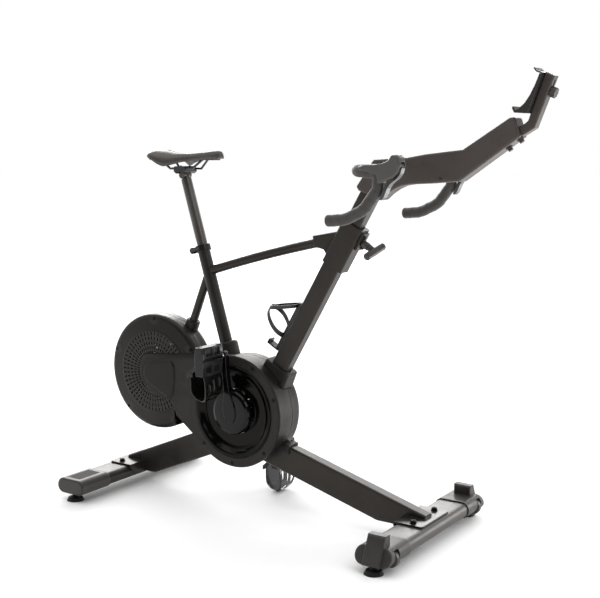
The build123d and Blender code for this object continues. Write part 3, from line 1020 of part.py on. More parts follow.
def cage():
    """Moulded cage for a 74 mm bottle, on the column's rear face."""
    r0, r1 = 37.6, 42.0
    shell = COL * Pos(BC, 0, -60) * (Cylinder(r1, 260.0) - Cylinder(r0, 262.0))
    spine = col_box(BC + r0, -27.05, -11, 11, -152, 4, 0)
    spine = spine + col_box(BC + r0 - 1.5, -36, -11, 11, -152, 4, 0)
    spine = spine - COL * Pos(BC, 0, -60) * Cylinder(r0, 262.0)
    for t in (-24, -104):
        spine = spine - COL * Pos(-33, 0, t) * Rot(0, 90, 0) * Cylinder(2.6, 40)
    win = col_box(-60, -20, -4.5, 4.5, -90, -40, 0)
    spine = spine - win
    hoop = shell & tilted((-39.0, -4.0), (-116.0, -60.0), 10.0)
    arms = shell & tilted((-116.0, -60.0), (-40.0, -104.0), 10.0)
    lip = col_box(-72, -30, -13, 13, -156, -151, 0) + col_box(-72, -68.5, -13, 13, -156, -142, 0)
    return spine + hoop + arms + lip


cg = cage()
cg = max(cg.solids(), key=lambda s: s.volume)
put("bottle_cage", cg)

# ---------------------------------------------------------------- write files
lo = [1e9] * 3
hi = [-1e9] * 3
for name, solids in NODES.items():
    shape = Compound(children=[Pos(-ORIGIN_X, 0, 0) * s for s in solids]) if len(solids) > 1 else Pos(-ORIGIN_X, 0, 0) * solids[0]
    export_step(shape, f"parts/{name}.step")
    bb_ = shape.bounding_box()
    for i, (a, b) in enumerate(((bb_.min.X, bb_.max.X), (bb_.min.Y, bb_.max.Y), (bb_.min.Z, bb_.max.Z))):
        lo[i] = min(lo[i], a)
        hi[i] = max(hi[i], b)
print("nodes", len(NODES))
print("box", [round(v, 2) for v in lo], [round(v, 2) for v in hi])
print("pedal right", PR, "pedal left", PL, "carrier pivot", PIV, "seat clamp", (HX, HZ), "skewer", SEAT.from_local_coords((CEAR, LY, 0)), "axis", tuple(ax))
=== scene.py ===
import bpy
import bmesh
import json
import math
from mathutils import Vector, Matrix

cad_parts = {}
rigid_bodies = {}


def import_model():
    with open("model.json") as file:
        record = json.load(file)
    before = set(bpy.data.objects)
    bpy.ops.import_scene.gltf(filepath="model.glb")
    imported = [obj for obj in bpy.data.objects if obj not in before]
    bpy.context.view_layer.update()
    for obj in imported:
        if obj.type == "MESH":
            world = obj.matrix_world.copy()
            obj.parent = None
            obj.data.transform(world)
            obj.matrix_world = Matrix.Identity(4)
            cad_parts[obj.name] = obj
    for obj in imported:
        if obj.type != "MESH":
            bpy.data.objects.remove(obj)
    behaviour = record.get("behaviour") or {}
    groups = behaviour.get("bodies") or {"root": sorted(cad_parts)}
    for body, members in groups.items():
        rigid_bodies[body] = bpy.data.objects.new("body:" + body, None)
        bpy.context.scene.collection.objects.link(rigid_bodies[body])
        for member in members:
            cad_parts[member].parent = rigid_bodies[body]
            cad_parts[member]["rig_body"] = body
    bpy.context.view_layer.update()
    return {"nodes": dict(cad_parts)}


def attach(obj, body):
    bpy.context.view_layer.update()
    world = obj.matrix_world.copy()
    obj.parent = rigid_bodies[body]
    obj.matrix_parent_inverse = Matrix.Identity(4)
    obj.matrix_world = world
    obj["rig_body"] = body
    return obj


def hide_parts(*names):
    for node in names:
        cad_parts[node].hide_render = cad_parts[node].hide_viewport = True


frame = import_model()
BAR_XZ = (480.0, 1003.0)
N = frame["nodes"]
MM = 0.001
OX = 213.6           # crank axis to the row's origin, mm


def P(x, y, z):
    """Crank-axis millimetres to the row frame in metres."""
    return Vector(((x - OX) * MM, y * MM, z * MM))


def frame_body(node_name):
    """Name of the rigid body that a CAD node belongs to."""
    return N[node_name]["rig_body"]


# ------------------------------------------------------------------- camera
cam_data = bpy.data.cameras.new("camera")
cam = bpy.data.objects.new("camera", cam_data)
bpy.context.scene.collection.objects.link(cam)
eye = P(1882.2, -2531.7, 1053.8)
aim = P(188.54, 0.0, 634.61)
cam.location = eye
q = (aim - eye).to_track_quat("-Z", "Y")
cam.rotation_mode = "QUATERNION"
cam.rotation_quaternion = q
cam_data.sensor_width = 36.0
cam_data.sensor_fit = "HORIZONTAL"
cam_data.lens = 1081.92 / 600.0 * 36.0
cam_data.clip_end = 50.0
bpy.context.scene.camera = cam

# ------------------------------------------------------------ light and floor
bpy.context.scene.view_settings.view_transform = "Standard"
world = bpy.data.worlds.new("studio")
bpy.context.scene.world = world
world.use_nodes = True
wn = world.node_tree
bg = wn.nodes["Background"]
# a white room that is darker on the side of the room facing the right of the bike
wco = wn.nodes.new("ShaderNodeTexCoord")
wdot = wn.nodes.new("ShaderNodeVectorMath")
wdot.operation = "DOT_PRODUCT"
wdot.inputs[1].default_value = Vector((0.50, -0.75, -0.30)).normalized()
wmap = wn.nodes.new("ShaderNodeMapRange")
wmap.interpolation_type = "SMOOTHSTEP"
wmap.inputs["From Min"].default_value = -0.15
wmap.inputs["From Max"].default_value = 0.55
wmap.inputs["To Min"].default_value = 1.0
wmap.inputs["To Max"].default_value = 0.05
wn.links.new(wco.outputs["Generated"], wdot.inputs[0])
wn.links.new(wdot.outputs["Value"], wmap.inputs["Value"])
wn.links.new(wmap.outputs["Result"], bg.inputs["Color"])
bg.inputs["Strength"].default_value = 1.0


def area(name, loc, target, size, power, size_y=None):
    d = bpy.data.lights.new(name, "AREA")
    d.shape = "RECTANGLE"
    d.size = size
    d.size_y = size_y or size
    d.energy = power
    o = bpy.data.objects.new(name, d)
    bpy.context.scene.collection.objects.link(o)
    o.location = loc
    o.rotation_mode = "QUATERNION"
    o.rotation_quaternion = (Vector(target) - Vector(loc)).to_track_quat("-Z", "Y")
    return o


area("front_soft", (2.6, -0.9, 2.3), (0.2, 0, 0.5), 1.6, 16, 1.2)
area("rear_soft", (-2.2, 1.6, 2.0), (-0.2, 0, 0.6), 1.6, 22, 1.2)
# a long soft box far behind the bike, above the picture, that brightens every top edge
area("back_box", (-4.9, 7.3, 3.6), (0.0, 0.0, 0.6), 11.0, 600, 1.9)
# a low card beside the picture that brightens the undersides of the boom and of the tablet post
area("side_card", (1.10, 1.25, 0.35), (0.60, 0.0, 1.12), 0.7, 9, 0.6)
sun_d = bpy.data.lights.new("overhead", "SUN")
sun_d.energy = 0.85
sun_d.angle = math.radians(70)
sun = bpy.data.objects.new("overhead", sun_d)
bpy.context.scene.collection.objects.link(sun)
sun.rotation_mode = "QUATERNION"
sun.rotation_quaternion = Vector((-0.10, 0.10, -1.0)).to_track_quat("-Z", "Y")


def mat(name):
    m = bpy.data.materials.new(name)
    m.use_nodes = True
    nt = m.node_tree
    b = nt.nodes["Principled BSDF"]
    return m, nt, b


def node(nt, kind, **vals):
    n = nt.nodes.new(kind)
    for k, v in vals.items():
        setattr(n, k, v)
    return n


floor_m, nt, b = mat("floor")
b.inputs["Base Color"].default_value = (0.975, 0.975, 0.975, 1)
b.inputs["Roughness"].default_value = 0.9
b.inputs["Specular IOR Level"].default_value = 0.05
me = bpy.data.meshes.new("floor")
bm = bmesh.new()
bmesh.ops.create_grid(bm, x_segments=1, y_segments=1, size=40.0)
bm.to_mesh(me)
bm.free()
floor = bpy.data.objects.new("floor", me)
bpy.context.scene.collection.objects.link(floor)
me.materials.append(floor_m)


# ---------------------------------------------------------------- materials
def surface(name, color, rough, spread=0.06, bump=0.15, scale=900.0, detail=4.0, color_spread=0.25, blot=14.0, metallic=0.0,
            coat=0.0, coat_rough=0.1, spec=0.5, wear=0.0, wear_color=(0.18, 0.18, 0.18), sheen=0.0, warm=0.0, edge=0.0):
    """A surface with fine texture, uneven gloss, slight colour drift and rubbed edges."""
    m, nt, b = mat(name)
    co = node(nt, "ShaderNodeTexCoord")
    fine = node(nt, "ShaderNodeTexNoise")
    fine.inputs["Scale"].default_value = scale
    fine.inputs["Detail"].default_value = detail
    big = node(nt, "ShaderNodeTexNoise")
    big.inputs["Scale"].default_value = blot
    big.inputs["Detail"].default_value = 6.0
    nt.links.new(co.outputs["Object"], fine.inputs["Vector"])
    nt.links.new(co.outputs["Object"], big.inputs["Vector"])
    # roughness
    mr = node(nt, "ShaderNodeMapRange")
    mr.inputs["From Min"].default_value = 0.3
    mr.inputs["From Max"].default_value = 0.7
    mr.inputs["To Min"].default_value = max(0.02, rough - spread)
    mr.inputs["To Max"].default_value = min(1.0, rough + spread)
    nt.links.new(big.outputs["Fac"], mr.inputs["Value"])
    nt.links.new(mr.outputs["Result"], b.inputs["Roughness"])
    # colour
    ramp = node(nt, "ShaderNodeMix", data_type="RGBA")
    c = color
    ramp.inputs["A"].default_value = (c[0] * (1 - color_spread), c[1] * (1 - color_spread), c[2] * (1 - color_spread), 1)
    ramp.inputs["B"].default_value = (c[0] * (1 + color_spread), c[1] * (1 + color_spread), c[2] * (1 + color_spread), 1)
    nt.links.new(big.outputs["Fac"], ramp.inputs["Factor"])
    out = ramp.outputs["Result"]
    if wear > 0:
        geo = node(nt, "ShaderNodeNewGeometry")
        pr = node(nt, "ShaderNodeMapRange")
        pr.inputs["From Min"].default_value = 0.515
        pr.inputs["From Max"].default_value = 0.56
        pr.inputs["To Min"].default_value = 0.0
        pr.inputs["To Max"].default_value = wear
        nt.links.new(geo.outputs["Pointiness"], pr.inputs["Value"])
        mul = node(nt, "ShaderNodeMath", operation="MULTIPLY")
        nt.links.new(pr.outputs["Result"], mul.inputs[0])
        nt.links.new(big.outputs["Fac"], mul.inputs[1])
        mx = node(nt, "ShaderNodeMix", data_type="RGBA")
        nt.links.new(mul.outputs[0], mx.inputs["Factor"])
        nt.links.new(out, mx.inputs["A"])
        mx.inputs["B"].default_value = (*wear_color, 1)
        out = mx.outputs["Result"]
    nt.links.new(out, b.inputs["Base Color"])
    bp = node(nt, "ShaderNodeBump")
    bp.inputs["Strength"].default_value = bump
    bp.inputs["Distance"].default_value = 0.0004
    nt.links.new(fine.outputs["Fac"], bp.inputs["Height"])
    if edge > 0:
        bv = node(nt, "ShaderNodeBevel")
        bv.samples = 6
        bv.inputs["Radius"].default_value = edge
        nt.links.new(bv.outputs["Normal"], bp.inputs["Normal"])
    nt.links.new(bp.outputs["Normal"], b.inputs["Normal"])
    b.inputs["Metallic"].default_value = metallic
    b.inputs["Specular IOR Level"].default_value = spec
    b.inputs["Coat Weight"].default_value = coat
    b.inputs["Coat Roughness"].default_value = coat_rough
    b.inputs["Sheen Weight"].default_value = sheen
    b.inputs["Specular Tint"].default_value = (1.0, 1.0 - 0.55 * warm, 1.0 - warm, 1)
    return m


def add_mask_texture(m, boxes, kind, scale, strength, darken=0.6, axis=None, matt=None):
    """Adds a second relief inside the given boxes (row frame, metres), such as ribs or a grip pattern."""
    nt = m.node_tree
    b = nt.nodes["Principled BSDF"]
    geo = node(nt, "ShaderNodeNewGeometry")
    sep = node(nt, "ShaderNodeSeparateXYZ")
    co = node(nt, "ShaderNodeTexCoord")
    nt.links.new(co.outputs["Object"], sep.inputs[0])
    total = None
    for lo_, hi_ in boxes:
        prod = None
        for k, ch in enumerate("XYZ"):
            a1 = node(nt, "ShaderNodeMath", operation="GREATER_THAN")
            a2 = node(nt, "ShaderNodeMath", operation="LESS_THAN")
            nt.links.new(sep.outputs[ch], a1.inputs[0])
            nt.links.new(sep.outputs[ch], a2.inputs[0])
            a1.inputs[1].default_value = lo_[k]
            a2.inputs[1].default_value = hi_[k]
            mm = node(nt, "ShaderNodeMath", operation="MULTIPLY")
            nt.links.new(a1.outputs[0], mm.inputs[0])
            nt.links.new(a2.outputs[0], mm.inputs[1])
            if prod is None:
                prod = mm
            else:
                m2 = node(nt, "ShaderNodeMath", operation="MULTIPLY")
                nt.links.new(prod.outputs[0], m2.inputs[0])
                nt.links.new(mm.outputs[0], m2.inputs[1])
                prod = m2
        if total is None:
            total = prod
        else:
            m3 = node(nt, "ShaderNodeMath", operation="MAXIMUM")
            nt.links.new(total.outputs[0], m3.inputs[0])
            nt.links.new(prod.outputs[0], m3.inputs[1])
            total = m3
    mask = total.outputs[0]
    if axis is not None:
        nsep = node(nt, "ShaderNodeSeparateXYZ")
        nt.links.new(geo.outputs["True Normal"], nsep.inputs[0])
        ab = node(nt, "ShaderNodeMath", operation="ABSOLUTE")
        nt.links.new(nsep.outputs[axis], ab.inputs[0])
        gt = node(nt, "ShaderNodeMath", operation="GREATER_THAN")
        gt.inputs[1].default_value = 0.72
        nt.links.new(ab.outputs[0], gt.inputs[0])
        m4 = node(nt, "ShaderNodeMath", operation="MULTIPLY")
        nt.links.new(mask, m4.inputs[0])
        nt.links.new(gt.outputs[0], m4.inputs[1])
        mask = m4.outputs[0]
    if kind == "grip":
        tex = node(nt, "ShaderNodeTexVoronoi")
        tex.feature = "F1"
        tex.inputs["Scale"].default_value = scale
        tex.inputs["Randomness"].default_value = 0.15
        nt.links.new(co.outputs["Object"], tex.inputs["Vector"])
        h = tex.outputs["Distance"]
    else:
        tex = node(nt, "ShaderNodeTexWave")
        tex.wave_type = "BANDS" if kind == "ribs" else "RINGS"
        tex.inputs["Scale"].default_value = scale
        tex.inputs["Distortion"].default_value = 0.0
        nt.links.new(co.outputs["Object"], tex.inputs["Vector"])
        h = tex.outputs["Fac"]
    mh = node(nt, "ShaderNodeMath", operation="MULTIPLY")
    nt.links.new(h, mh.inputs[0])
    nt.links.new(mask, mh.inputs[1])
    bump = [n for n in nt.nodes if n.type == "BUMP"][0]
    b2 = node(nt, "ShaderNodeBump")
    b2.inputs["Strength"].default_value = strength
    b2.inputs["Distance"].default_value = 0.0012
    nt.links.new(mh.outputs[0], b2.inputs["Height"])
    nt.links.new(bump.outputs["Normal"], b2.inputs["Normal"])
    nt.links.new(b2.outputs["Normal"], b.inputs["Normal"])
    if matt is not None:
        rs = b.inputs["Roughness"].links[0].from_socket
        rm = node(nt, "ShaderNodeMix", data_type="FLOAT")
        nt.links.new(mask, rm.inputs["Factor"])
        nt.links.new(rs, rm.inputs["A"])
        rm.inputs["B"].default_value = matt
        nt.links.new(rm.outputs["Result"], b.inputs["Roughness"])
    # the colour inside the boxes is multiplied by darken, so the relief area is darker
    src = b.inputs["Base Color"].links[0].from_socket
    dk = node(nt, "ShaderNodeMix", data_type="RGBA", blend_type="MULTIPLY")
    nt.links.new(mask, dk.inputs["Factor"])
    nt.links.new(src, dk.inputs["A"])
    dk.inputs["B"].default_value = (darken, darken, darken, 1)
    nt.links.new(dk.outputs["Result"], b.inputs["Base Color"])
    return m


def R(x, y, z):
    return ((x - OX) * MM, y * MM, z * MM)


M = {}
M["paint"] = surface("frame paint", (0.0080, 0.0066, 0.0058), 0.34, spread=0.05, bump=0.10, scale=1400, wear=0.10, spec=0.34, warm=0.20, edge=0.002)
M["boom"] = surface("boom paint", (0.050, 0.041, 0.036), 0.42, spread=0.05, bump=0.14, scale=1400, wear=0.10, spec=0.42, warm=0.12, edge=0.0025)
M["housing"] = surface("housing plastic", (0.0062, 0.0054, 0.0049), 0.47, spread=0.05, bump=0.28, scale=2200, wear=0.12, spec=0.27, warm=0.16, edge=0.007)
M["gloss"] = surface("gloss cover", (0.0022, 0.0021, 0.0020), 0.13, spread=0.03, bump=0.03, scale=260, color_spread=0.1, spec=0.13, warm=0.1, edge=0.0015)
M["rear"] = surface("rear cover plastic", (0.0064, 0.0057, 0.0053), 0.36, spread=0.05, bump=0.25, scale=2200, wear=0.12, spec=0.27, warm=0.16, edge=0.004)
M["cap"] = surface("cap plastic", (0.018, 0.0163, 0.0152), 0.42, spread=0.06, bump=0.3, scale=1800, wear=0.15, spec=0.45, warm=0.12)
M["endcap"] = surface("end cap plastic", (0.032, 0.0285, 0.0262), 0.45, spread=0.06, bump=0.3, scale=1800, wear=0.15, spec=0.42, warm=0.12, edge=0.003)
M["rubber"] = surface("rubber", (0.010, 0.010, 0.010), 0.70, spread=0.08, bump=0.3, scale=1500, spec=0.35)
M["tape"] = surface("grip tape", (0.044, 0.0405, 0.0375), 0.60, spread=0.08, bump=0.55, scale=1100, sheen=0.15, spec=0.42, warm=0.1)
M["hood"] = surface("hood rubber", (0.072, 0.068, 0.063), 0.36, spread=0.06, bump=0.3, scale=1300, spec=0.5, warm=0.06)
M["pad"] = surface("pad vinyl", (0.058, 0.051, 0.046), 0.42, spread=0.07, bump=0.6, scale=700, wear=0.1, spec=0.5, warm=0.12)
M["shell"] = surface("saddle shell", (0.010, 0.010, 0.010), 0.42, bump=0.15)
M["bolt"] = surface("black oxide steel", (0.003, 0.003, 0.003), 0.50, spread=0.07, bump=0.12, scale=1200, wear=0.1, wear_color=(0.2, 0.2, 0.2), spec=0.14)
M["steel"] = surface("machined steel", (0.55, 0.55, 0.56), 0.28, spread=0.08, bump=0.12, scale=1500, metallic=1.0)
M["rail"] = surface("rail enamel", (0.014, 0.014, 0.014), 0.22, bump=0.05, coat=0.4)
M["alloy"] = surface("black anodised alloy", (0.020, 0.020, 0.021), 0.30, spread=0.06, bump=0.12, scale=1600, metallic=0.6, wear=0.2, wear_color=(0.3, 0.3, 0.3))
M["crank"] = surface("crank enamel", (0.0030, 0.0029, 0.0028), 0.15, spread=0.04, bump=0.06, scale=900, coat=0.08, coat_rough=0.05, spec=0.18, edge=0.002)
M["pulley"] = surface("turned alloy", (0.5, 0.5, 0.5), 0.32, metallic=1.0)
M["iron"] = surface("flywheel iron", (0.2, 0.2, 0.2), 0.38, metallic=1.0, bump=0.2, scale=400)
M["toe"] = surface("toe clip nylon", (0.0050, 0.0047, 0.0045), 0.16, bump=0.10, spec=0.30, coat=0.15, edge=0.0012)
M["pedal"] = surface("pedal nylon", (0.0045, 0.0043, 0.0042), 0.18, bump=0.10, spec=0.28, coat=0.10, wear=0.2, edge=0.0015)
M["foot"] = surface("foot rubber", (0.006, 0.0056, 0.0053), 0.62, bump=0.4, spec=0.3)
M["post"] = surface("seat post alloy", (0.072, 0.065, 0.060), 0.32, spread=0.05, bump=0.08, scale=1500, metallic=0.5, wear=0.15, wear_color=(0.3, 0.3, 0.3), warm=0.08)
M["cage"] = surface("cage nylon", (0.007, 0.007, 0.007), 0.26, bump=0.08, spec=0.5)

M["handle"] = surface("handle plastic", (0.034, 0.0305, 0.028), 0.38, spread=0.06, bump=0.3, scale=1800, wear=0.2, spec=0.5, warm=0.12)

M["mast"] = surface("mast paint", (0.012, 0.0100, 0.0088), 0.34, spread=0.05, bump=0.10, scale=1400, wear=0.10, spec=0.40, warm=0.2)
M["stab"] = surface("satin tube paint", (0.038, 0.033, 0.0298), 0.40, spread=0.05, bump=0.12, scale=1400, wear=0.10, spec=0.50, warm=0.12)
M["lever"] = surface("lever alloy", (0.018, 0.0175, 0.017), 0.34, spread=0.06, bump=0.12, scale=1600, metallic=0.25, wear=0.25, wear_color=(0.4, 0.4, 0.4), spec=0.45)

XF, XR = 592.0, -452.0
add_mask_texture(M["endcap"], [(R(XF - 24, -300, 20), R(XF + 26, -220, 100)), (R(XF - 24, 220, 20), R(XF + 26, 300, 100))], "grip", 420.0, 0.9, 0.80)
add_mask_texture(M["endcap"], [(R(XR - 26, -276, 68), R(XR + 26, -187, 72)), (R(XR - 26, 187, 68), R(XR + 26, 276, 72))], "grip", 640.0, 0.9, 0.55, matt=0.78)
add_mask_texture(M["endcap"], [(R(XF - 60, -296, 20), R(XF - 24.5, -260, 100)), (R(XF + 26.5, -296, 20), R(XF + 60, -260, 100)),
                               (R(XF - 60, 260, 20), R(XF - 24.5, 296, 100)), (R(XF + 26.5, 260, 20), R(XF + 60, 296, 100))], "ribs", 62.0, 1.0, 0.95)



def painted_screw_hole_shade(m, centres, y_hi, radius, inner=0.0):
    """Painted shade of the cover screws' countersinks: near-black, fully rough discs about each (x, z) centre, on faces
    below y_hi.
    """
    nt = m.node_tree
    b = nt.nodes["Principled BSDF"]
    co = node(nt, "ShaderNodeTexCoord")
    sep = node(nt, "ShaderNodeSeparateXYZ")
    nt.links.new(co.outputs["Object"], sep.inputs[0])
    flat = node(nt, "ShaderNodeCombineXYZ")
    nt.links.new(sep.outputs["X"], flat.inputs["X"])
    nt.links.new(sep.outputs["Z"], flat.inputs["Z"])
    best = None
    for cx, cz in centres:
        d = node(nt, "ShaderNodeVectorMath", operation="DISTANCE")
        nt.links.new(flat.outputs[0], d.inputs[0])
        d.inputs[1].default_value = ((cx - OX) * MM, 0.0, cz * MM)
        if best is None:
            best = d.outputs["Value"]
        else:
            mn = node(nt, "ShaderNodeMath", operation="MINIMUM")
            nt.links.new(best, mn.inputs[0])
            nt.links.new(d.outputs["Value"], mn.inputs[1])
            best = mn.outputs[0]
    mr = node(nt, "ShaderNodeMapRange")
    mr.inputs["From Min"].default_value = radius * 0.80 * MM
    mr.inputs["From Max"].default_value = radius * MM
    mr.inputs["To Min"].default_value = 1.0
    mr.inputs["To Max"].default_value = 0.0
    nt.links.new(best, mr.inputs["Value"])
    side = node(nt, "ShaderNodeMath", operation="LESS_THAN")
    nt.links.new(sep.outputs["Y"], side.inputs[0])
    side.inputs[1].default_value = y_hi * MM
    mask = node(nt, "ShaderNodeMath", operation="MULTIPLY")
    nt.links.new(mr.outputs["Result"], mask.inputs[0])
    nt.links.new(side.outputs[0], mask.inputs[1])
    # painted shade: the near-black colour inside each disc stands for the shadow in the countersink
    src = b.inputs["Base Color"].links[0].from_socket
    dk = node(nt, "ShaderNodeMix", data_type="RGBA")
    nt.links.new(mask.outputs[0], dk.inputs["Factor"])
    nt.links.new(src, dk.inputs["A"])
    dk.inputs["B"].default_value = (0.0012, 0.0012, 0.0012, 1)
    nt.links.new(dk.outputs["Result"], b.inputs["Base Color"])
    rs = b.inputs["Roughness"].links[0].from_socket
    rm = node(nt, "ShaderNodeMix", data_type="FLOAT")
    nt.links.new(mask.outputs[0], rm.inputs["Factor"])
    nt.links.new(rs, rm.inputs["A"])
    rm.inputs["B"].default_value = 1.0
    nt.links.new(rm.outputs["Result"], b.inputs["Roughness"])
    # the hole's dish
    hs = node(nt, "ShaderNodeMapRange")
    hs.interpolation_type = "SMOOTHSTEP"
    hs.inputs["From Min"].default_value = 0.0
    hs.inputs["From Max"].default_value = radius * MM
    nt.links.new(best, hs.inputs["Value"])
    bump = b.inputs["Normal"].links[0].from_node
    b2 = node(nt, "ShaderNodeBump")
    b2.inputs["Strength"].default_value = 1.0
    b2.inputs["Distance"].default_value = 0.003
    nt.links.new(hs.outputs["Result"], b2.inputs["Height"])
    nt.links.new(bump.outputs["Normal"], b2.inputs["Normal"])
    nt.links.new(b2.outputs["Normal"], b.inputs["Normal"])


BBZ = 295.0
FX, FZ = -318.4, 375.4
# painted shade around the housing and rear cover screws
painted_screw_hole_shade(M["housing"], [(154.5 * math.cos(math.radians(a)), BBZ + 154.5 * math.sin(math.radians(a))) for a in (-134.6, -91.3, -44.2, 20.1, 62.0)], -40.0, 6.0)
painted_screw_hole_shade(M["rear"], [(FX + 166.0 * math.cos(math.radians(a)), FZ + 166.0 * math.sin(math.radians(a))) for a in (89.6, 159.8, -132.0, -61.0, 29.8)], -30.0, 6.0)

ASSIGN = {
    "paint": ["front_leg", "rear_leg", "rear_stabilizer", "bottom_bracket_shell", "seat_tube", "top_tube", "seat_stay", "column_tube",
              "column_head", "flywheel_plates"],
    "mast": ["mast"], "stab": ["front_stabilizer"], "handle": ["clamp_handle", "tablet_knob"],
    "boom": ["boom", "boom_clamp_cover", "handlebar", "tablet_post"], "post": ["seatpost"],
    "housing": ["front_housing_right", "front_housing_left", "tube_boots"],
    "rear": ["rear_housing_right", "rear_housing_left"],
    "gloss": ["dish_covers"], "endcap": ["end_caps"],
    "cap": ["tablet_rest", "tablet_jaw", "transport_wheel_right", "transport_wheel_left"],
    "cage": ["bottle_cage"],
    "tape": ["bar_tape"], "hood": ["lever_hoods"], "pad": ["saddle_pad"], "shell": ["saddle_base"],
    "bolt": ["fasteners"], "steel": ["pedal_axles", "bearings", "flywheel_pulley_shaft", "pivot_pins"],
    "rail": ["saddle_rails"], "alloy": ["seat_lever", "seat_collar", "saddle_clamp", "magnet_carrier"], "lever": ["brake_lever_left", "brake_lever_right"],
    "crank": ["crank_arm_right", "crank_arm_left"],
    "pulley": ["crank_pulley"], "iron": ["flywheel"], "toe": ["toe_clip_right", "toe_clip_left"], "pedal": ["pedal_right", "pedal_left"],
    "foot": ["foot_front_right", "foot_front_left", "foot_rear_right", "foot_rear_left"], "rubber": ["drive_belt"],
}
for key, names in ASSIGN.items():
    for n in names:
        o = N[n]
        for i in range(max(1, len(o.material_slots))):
            if len(o.material_slots) == 0:
                o.data.materials.append(M[key])
            else:
                o.material_slots[i].material = M[key]


# ------------------------------------------------------------- soft pieces
def mesh_object(name, verts, faces, mats, mat_ids=None):
    me = bpy.data.meshes.new(name)
    me.from_pydata([tuple(v) for v in verts], [], faces)
    for m in mats:
        me.materials.append(m)
    if mat_ids:
        me.polygons.foreach_set("material_index", mat_ids)
    me.polygons.foreach_set("use_smooth", [True] * len(me.polygons))
    me.update()
    bm = bmesh.new()
    bm.from_mesh(me)
    bmesh.ops.remove_doubles(bm, verts=bm.verts, dist=1e-6)
    bmesh.ops.recalc_face_normals(bm, faces=bm.faces)
    bm.to_mesh(me)
    bm.free()
    o = bpy.data.objects.new(name, me)
    bpy.context.scene.collection.objects.link(o)
    return o


def interp(table, x):
    """Smooth value of a table of (x, value), x ascending."""
    if x <= table[0][0]:
        return table[0][1]
    for (x0, v0), (x1, v1) in zip(table, table[1:]):
        if x <= x1:
            t = (x - x0) / (x1 - x0)
            return v0 + (v1 - v0) * t
    return table[-1][1]


def smooth_table(table, n=400, width=6.0):
    """The table resampled and blurred, so its corners are rounded."""
    x0, x1 = table[0][0], table[-1][0]
    xs = [x0 + (x1 - x0) * i / n for i in range(n + 1)]
    out = []
    for x in xs:
        tot = acc = 0.0
        for k in range(-4, 5):
            w = math.exp(-(k / 2.5) ** 2)
            acc += w * interp(table, min(x1, max(x0, x + k * width / 4)))
            tot += w
        out.append((x, acc / tot))
    return out


TOP = smooth_table([(-342, 1044.0), (-330, 1051.5), (-315, 1054.8), (-300, 1054.8), (-270, 1050.2), (-246, 1046.6), (-208, 1045.2), (-170, 1046.6), (-140, 1049.2), (-115, 1051.6), (-101, 1052.2), (-92, 1051.2), (-88, 1049.5), (-83.5, 1045.0)])
LOW = smooth_table([(-342, 1041.5), (-330, 1037.0), (-318, 1033.0), (-305, 1028.5), (-290, 1019.5), (-275, 1011.0), (-262, 1005.5), (-247, 1008.0), (-215, 1017.5), (-170, 1024.5), (-120, 1027.5), (-90, 1028.5), (-83.5, 1031.0)])
WID = smooth_table([(-336, 60.0), (-325, 68.0), (-305, 72.0), (-280, 70.0), (-255, 60.0), (-225, 42.0), (-190, 29.0), (-150, 22.5), (-105, 19.0), (-84, 17.0)])
X_NOSE, X_TAIL = -84.0, -335.0
NU, NS = 150, 72


def saddle_point(u, s):
    """Top (sign +1) and lower edge data at station u (0 nose, 1 tail) and side s."""
    tail = X_TAIL + 4.5 * math.exp(-(s / 0.35) ** 2) + 9.0 * max(0.0, abs(s) - 0.6) ** 2
    x = X_NOSE + (tail - X_NOSE) * u
    w = interp(WID, x)
    d_nose, d_tail = X_NOSE - x, x - tail
    if d_nose < 17.0:
        w *= math.sqrt(max(0.0, 1.0 - (1.0 - d_nose / 17.0) ** 2))
    if d_tail < 24.0:
        w *= 0.55 + 0.45 * math.sqrt(max(0.0, 1.0 - (1.0 - d_tail / 24.0) ** 2))
    zt, zl = interp(TOP, x), interp(LOW, x)
    mid = zl + (zt - zl) * 0.55
    e = 1.0
    if d_nose < 9.0:
        e = math.sqrt(max(0.0, 1.0 - (1.0 - d_nose / 9.0) ** 2))
    if d_tail < 13.0:
        e = min(e, math.sqrt(max(0.0, 1.0 - (1.0 - d_tail / 13.0) ** 2)))
    return x, w, mid + (zt - mid) * e, mid + (zl - mid) * e, mid


verts, faces, ids = [], [], []
for j in range(NS + 1):
    for i in range(NU + 1):
        # stations closer together at both ends
        u = i / NU
        u = u + 0.10 * math.sin(2 * math.pi * u) / (2 * math.pi) * -1.0
        s = -1.0 + 2.0 * j / NS
        s = math.sin(s * math.pi / 2) * 0.35 + s * 0.65
        s = max(-1.0, min(1.0, s))
        x, w, zt, zl, mid = saddle_point(u, s)
        n = 2.5
        h = (1.0 - abs(s) ** n) ** (1.0 / n)
        z = zl + (zt - zl) * h
        # long relief channel and a sewn seam along each side
        win = max(0.0, min(1.0, (-(x) - 112) / 25.0)) * max(0.0, min(1.0, (x + 318) / 20.0))
        z -= 2.6 * win * math.exp(-((s * w) / (4.0 + 3.5 * min(1.0, max(0.0, (-x - 200) / 80.0)))) ** 4)
        z -= 0.7 * math.exp(-((abs(s) - 0.80) / 0.018) ** 2)
        # slight unevenness of the foam under its cover
        z += 0.25 * math.sin(x * 0.09 + s * 3.0) * math.cos(s * 5.0 + x * 0.031) * (1.0 - abs(s))
        verts.append(P(x, s * w, z))
top_n = len(verts)
